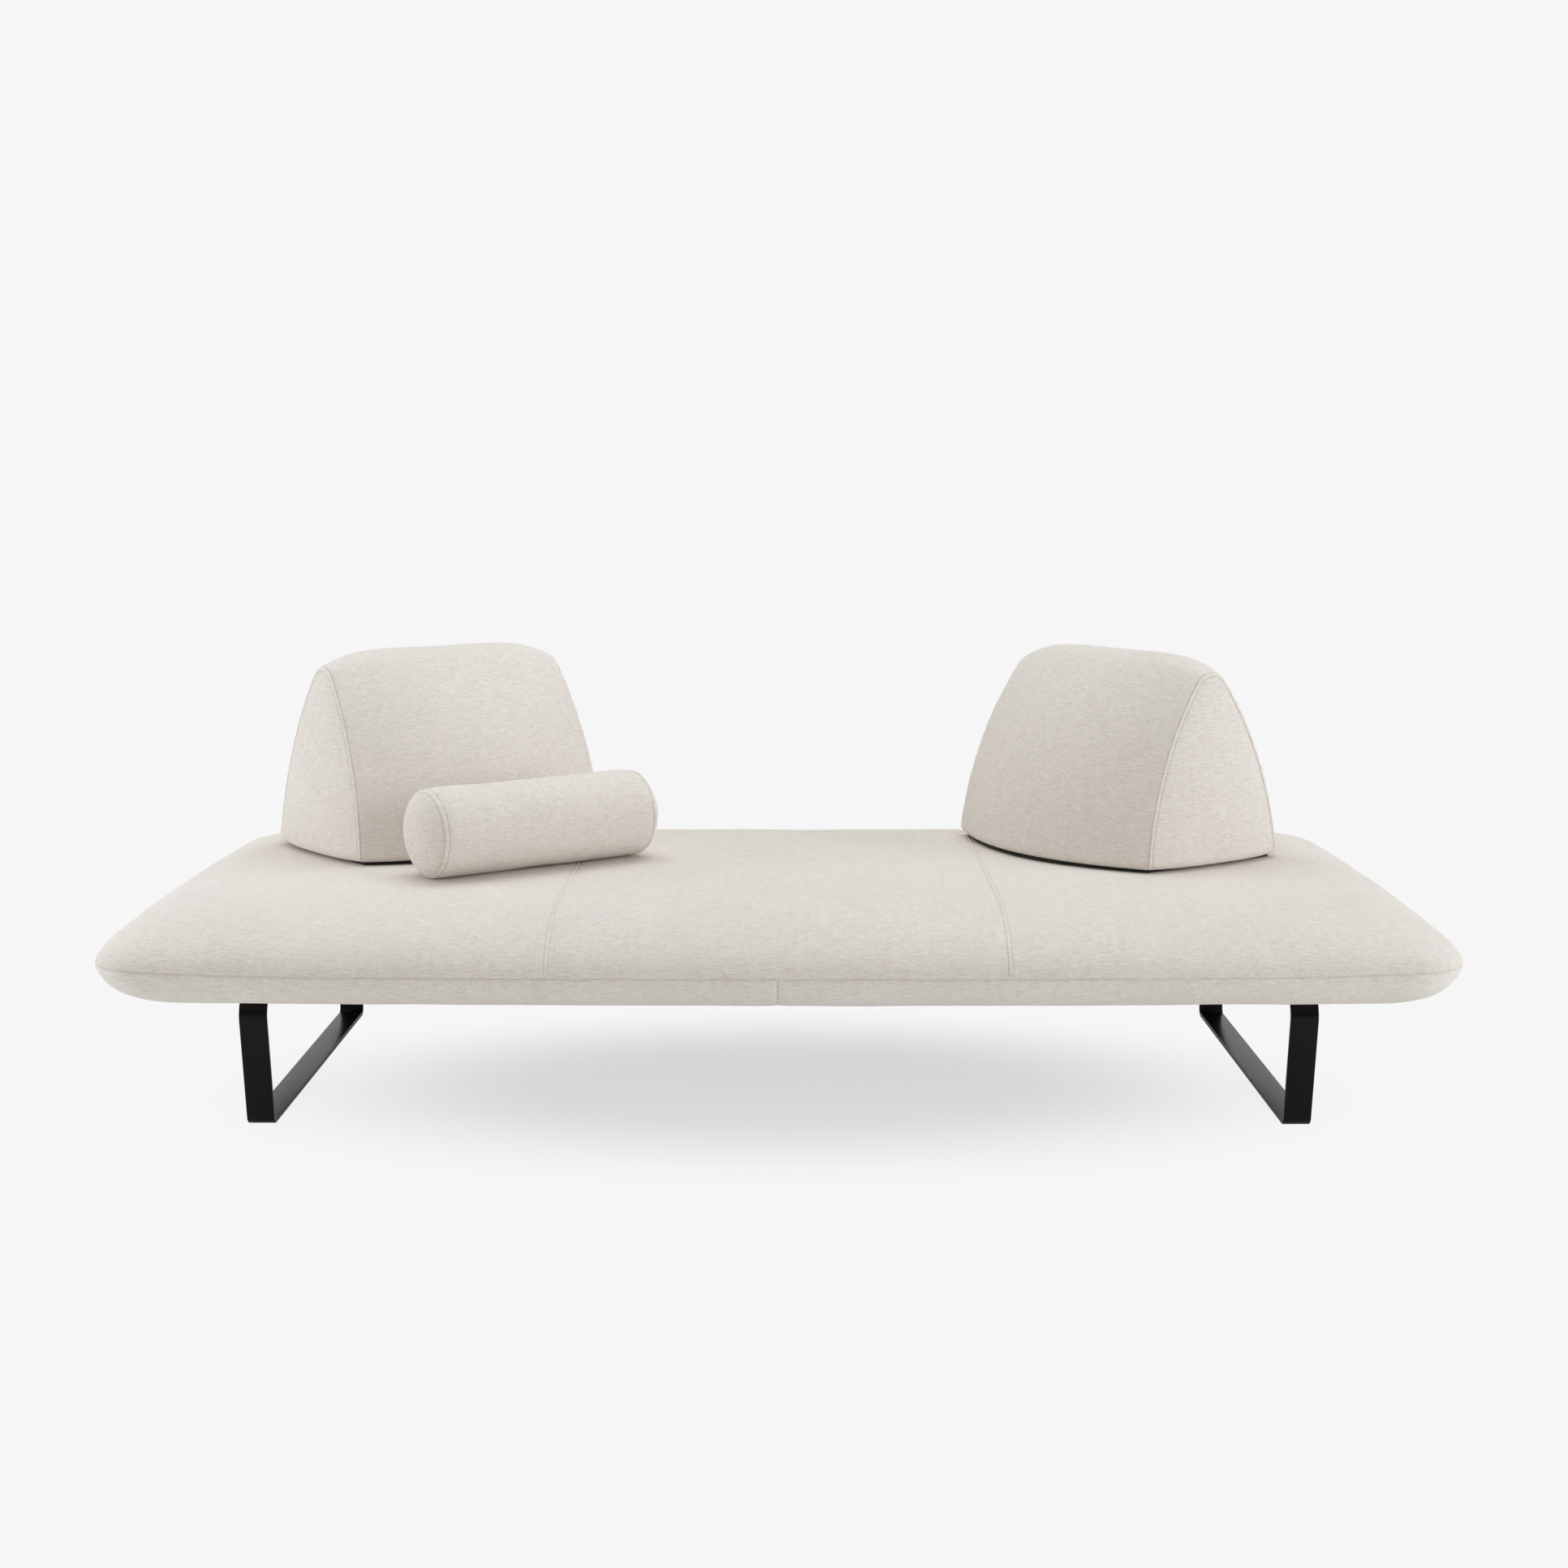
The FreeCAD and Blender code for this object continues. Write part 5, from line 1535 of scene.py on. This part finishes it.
def build_finishes():
    """The finishes; a grained one has colour, roughness and its spread, grain, patch and tint."""
    for name in ("seat_cloth", "backrest_cloth", "bolster_cloth"):
        cloth_finish(name)
    grain_finish("thread", (0.80, 0.765, 0.715), 0.75, 0.1, 2400.0, 90.0, 0.2, depth=0.4, specular=0.3)
    grain_finish("powder_coat", bpy.context.scene.sofa_legs.coat, 0.26, 0.06, 900.0, 14.0, 0.20,
                 height=0.00005, depth=0.15, specular=0.17)
    grain_finish("powder_steel", (0.05, 0.05, 0.052), 0.5, 0.15, 600.0, 8.0, 0.2)
    grain_finish("zinc_plate", (0.62, 0.63, 0.66), 0.34, 0.2, 900.0, 60.0, 0.12, metallic=1.0, depth=0.12)
    grain_finish("glide_nylon", (0.016, 0.016, 0.017), 0.5, 0.1, 1200.0, 40.0, 0.2, depth=0.15)
    grain_finish("spacer_nylon", (0.03, 0.03, 0.032), 0.55, 0.1, 900.0, 30.0, 0.2)
    grain_finish("grip_rubber", (0.010, 0.0098, 0.0095), 0.8, 0.1, 420.0, 30.0, 0.35,
                 height=0.0006, depth=0.6)
    grain_finish("base_ply", (0.50, 0.36, 0.22), 0.7, 0.15, 60.0, 6.0, 0.5,
                 height=0.0003, stretch=(0.15, 3.0, 3.0))
    grain_finish("ballast", (0.11, 0.105, 0.10), 0.5, 0.25, 300.0, 12.0, 0.4, metallic=1.0)
    grain_finish("foam", (0.80, 0.74, 0.58), 0.95, 0.05, 380.0, 20.0, 0.15, height=0.0012, depth=0.8)
    grain_finish("webbing", (0.05, 0.045, 0.04), 0.85, 0.1, 500.0, 30.0, 0.5,
                 height=0.0005, depth=0.6, stretch=(1.0, 0.12, 1.0))
    grain_finish("dust_cloth_black", (0.018, 0.018, 0.019), 0.95, 0.05, 260.0, 30.0, 0.5,
                 height=0.0004, depth=0.6, specular=0.2)


# Stage


FLOOR_HALF = 40
AMBIENT_COLOUR, LAMP_COLOUR = (1.0, 0.945, 0.850, 1.0), (0.897, 0.931, 1.0)
LAMPS = (  # name, place, what it is aimed at, width, height, its power and the share of it
    ("overhead", (0.0, 0.7, 4.6), (0, 0.1, 0.3), 4.4, 3.0, "overhead", 1.0),
    ("left_fill", (-2.65, -0.4, 1.1), (-0.6, 0.1, 0.6), 1.6, 1.6, "side", 1.0),
    ("right_fill", (5.0, -2.2, 1.8), (0.2, 0.0, 0.5), 3.0, 3.0, "side", 6.2))
CAMERA_AT, CAMERA_TILT, CAMERA_SWING = (0.026, -4.208, 1.171), 8.072, 0.24
VEIL_START, VEIL_END = (0.22, 0.70), (0.66, 1.0)  # distance from the sofa, share of the backdrop
VEIL_LIGHT = 0.30  # its share for light that doesn't go to the camera
FRONT_DIM = 0.25  # strength of the backdrop that mirrors see in front


def build_floor(stage):
    """A floor that fades into the backdrop away from the sofa, as the camera sees it."""
    h = FLOOR_HALF
    mesh = bpy.data.meshes.new("floor")
    mesh.from_pydata([(-h, -h, 0), (h, -h, 0), (h, h, 0), (-h, h, 0)], [], [(0, 1, 2, 3)])
    floor = bpy.data.objects.new("floor", mesh)
    bpy.context.scene.collection.objects.link(floor)
    material, w, shader = blank_material("studio_floor")
    shader.inputs["Base Color"].default_value = tuple(stage.floor) + (1.0,)
    shader.inputs["Roughness"].default_value = 0.9
    shader.inputs["Specular IOR Level"].default_value = 0.1
    spot, split, ray = w.new("TexCoord"), w.new("SeparateXYZ"), w.new("LightPath")
    w.join(spot.outputs["Object"], split.inputs[0])
    x = w.math("MULTIPLY", split.outputs[0], 0.55)
    y = w.math("ADD", split.outputs[1], 0.15)
    away = w.math("SQRT", w.math("ADD", w.math("MULTIPLY", x, x), w.math("MULTIPLY", y, y)))
    pale = w.new("Emission")
    pale.inputs["Color"].default_value = (stage.backdrop,) * 3 + (1.0,)
    veil = w.span(away, VEIL_START[0], VEIL_END[0], VEIL_START[1], VEIL_END[1])
    veil = w.math("MULTIPLY", veil, ray.outputs["Is Camera Ray"])
    out = next(n for n in w.tree.nodes if n.type == "OUTPUT_MATERIAL")
    w.blend(w.math("MAXIMUM", veil, VEIL_LIGHT), shader, pale, out)
    mesh.materials.append(material)


def build_world(stage):
    """Light from all round; the camera and mirrors see the backdrop, dimmer towards the front."""
    world = bpy.data.worlds.new("studio")
    bpy.context.scene.world = world
    world.use_nodes = True
    world.node_tree.nodes.clear()
    w = Wires(world.node_tree)
    light, seen = w.new("Background"), w.new("Background")
    light.inputs["Strength"].default_value = stage.ambient
    light.inputs["Color"].default_value = AMBIENT_COLOUR
    seen.inputs["Color"].default_value = (stage.backdrop,) * 3 + (1.0,)
    ray, way, parts = w.new("LightPath"), w.new("TexCoord"), w.new("SeparateXYZ")
    w.join(way.outputs["Generated"], parts.inputs[0])
    behind = w.span(parts.outputs[1], -0.6, 0.3, FRONT_DIM, 1.0)
    dimmed = w.math("MAXIMUM", behind, w.math("SUBTRACT", 1.0, ray.outputs["Is Glossy Ray"]))
    w.join(dimmed, seen.inputs["Strength"])
    shown = w.math("MAXIMUM", ray.outputs["Is Camera Ray"], ray.outputs["Is Glossy Ray"])
    shown = w.math("MAXIMUM", shown, ray.outputs["Is Transmission Ray"])
    w.blend(shown, light, seen, w.new("OutputWorld"))


def set_up(name, data, at, way):
    """Puts a lamp or a camera in its place, facing a way."""
    holder = bpy.data.objects.new(name, data)
    holder.location = at
    holder.rotation_euler = way.to_track_quat("-Z", "Y").to_euler()
    bpy.context.scene.collection.objects.link(holder)
    return holder


def build_lamps(stage):
    for name, at, aim, wide, tall, power, share in LAMPS:
        lamp = bpy.data.lights.new(name, "AREA")
        lamp.shape = "RECTANGLE"
        lamp.size, lamp.size_y, lamp.energy = wide, tall, getattr(stage, power) * share
        lamp.color = LAMP_COLOUR
        set_up(name, lamp, at, Vector(aim) - Vector(at))


def build_camera(stage):
    view = bpy.data.cameras.new("photo_view")
    view.lens = stage.lens
    view.sensor_width = 36.0
    view.sensor_fit = "HORIZONTAL"
    view.clip_end = 200.0
    tilt, swing = math.radians(CAMERA_TILT), math.radians(CAMERA_SWING)
    way = (-math.sin(swing) * math.cos(tilt), math.cos(swing) * math.cos(tilt), -math.sin(tilt))
    bpy.context.scene.camera = set_up("photo_view", view, CAMERA_AT, Vector(way))


def build_stage():
    stage = bpy.context.scene.sofa_stage
    build_floor(stage)
    build_world(stage)
    build_lamps(stage)
    build_camera(stage)
    bpy.context.scene.view_settings.view_transform = "Standard"


# Operators and panel


class SOFA_OT_finishes(bpy.types.Operator):
    """Makes the finishes that the pieces use and dresses the solids that stay"""
    bl_idname = "sofa.finishes"
    bl_label = "Finishes"

    def execute(self, context):
        build_finishes()
        dress_frame()
        return {"FINISHED"}


class SOFA_OT_seat(bpy.types.Operator):
    """Builds the seat cushion with its seams and topstitching"""
    bl_idname = "sofa.seat"
    bl_label = "Seat cushion"

    def execute(self, context):
        build_seat()
        return {"FINISHED"}


class SOFA_OT_backrests(bpy.types.Operator):
    """Builds the two loose backrest cushions"""
    bl_idname = "sofa.backrests"
    bl_label = "Backrests"

    def execute(self, context):
        swollen = back_swell()
        for side in ("left", "right"):
            build_backrest(side, swollen)
        return {"FINISHED"}


class SOFA_OT_bolster(bpy.types.Operator):
    """Builds the loose bolster"""
    bl_idname = "sofa.bolster"
    bl_label = "Bolster"

    def execute(self, context):
        build_bolster()
        return {"FINISHED"}


class SOFA_OT_legs(bpy.types.Operator):
    """Builds the two bent sled legs"""
    bl_idname = "sofa.legs"
    bl_label = "Sled legs"

    def execute(self, context):
        build_legs()
        return {"FINISHED"}


class SOFA_OT_fittings(bpy.types.Operator):
    """Builds screws, glides, the underside cloth and its staples"""
    bl_idname = "sofa.fittings"
    bl_label = "Fittings"

    def execute(self, context):
        build_fittings()
        return {"FINISHED"}


class SOFA_OT_stage(bpy.types.Operator):
    """Sets the floor, the light and the camera"""
    bl_idname = "sofa.stage"
    bl_label = "Stage"

    def execute(self, context):
        build_stage()
        return {"FINISHED"}


OPERATORS = (SOFA_OT_finishes, SOFA_OT_seat, SOFA_OT_backrests, SOFA_OT_bolster, SOFA_OT_legs,
             SOFA_OT_fittings, SOFA_OT_stage)


class SOFA_PT_panel(bpy.types.Panel):
    """Lists the sofa's pieces and their sizes"""
    bl_label = "Outdoor sofa"
    bl_idname = "SOFA_PT_panel"
    bl_space_type = "VIEW_3D"
    bl_region_type = "UI"
    bl_category = "Sofa"

    def draw(self, context):
        for operator in OPERATORS:
            self.layout.operator(operator.bl_idname)
        for group in GROUP_PLACES:
            box = self.layout.box()
            values = getattr(context.scene, group)
            for key in values.__annotations__:
                box.prop(values, key)


GROUP_PLACES = {"sofa_fabric": SofaFabric, "sofa_seams": SofaSeams, "sofa_legs": SofaLegs,
                "sofa_stage": SofaStage}
CLASSES = tuple(GROUP_PLACES.values()) + OPERATORS + (SOFA_PT_panel,)


def register():
    for cls in CLASSES:
        bpy.utils.register_class(cls)
    for name, group in GROUP_PLACES.items():
        setattr(bpy.types.Scene, name, PointerProperty(type=group))


def unregister():
    for name in GROUP_PLACES:
        delattr(bpy.types.Scene, name)
    for cls in reversed(CLASSES):
        bpy.utils.unregister_class(cls)


def main():
    register()
    bpy.ops.sofa.stage()
    bpy.ops.sofa.finishes()
    bpy.ops.sofa.seat()
    bpy.ops.sofa.backrests()
    bpy.ops.sofa.bolster()
    bpy.ops.sofa.legs()
    bpy.ops.sofa.fittings()


if __name__ == "__main__":
    main()
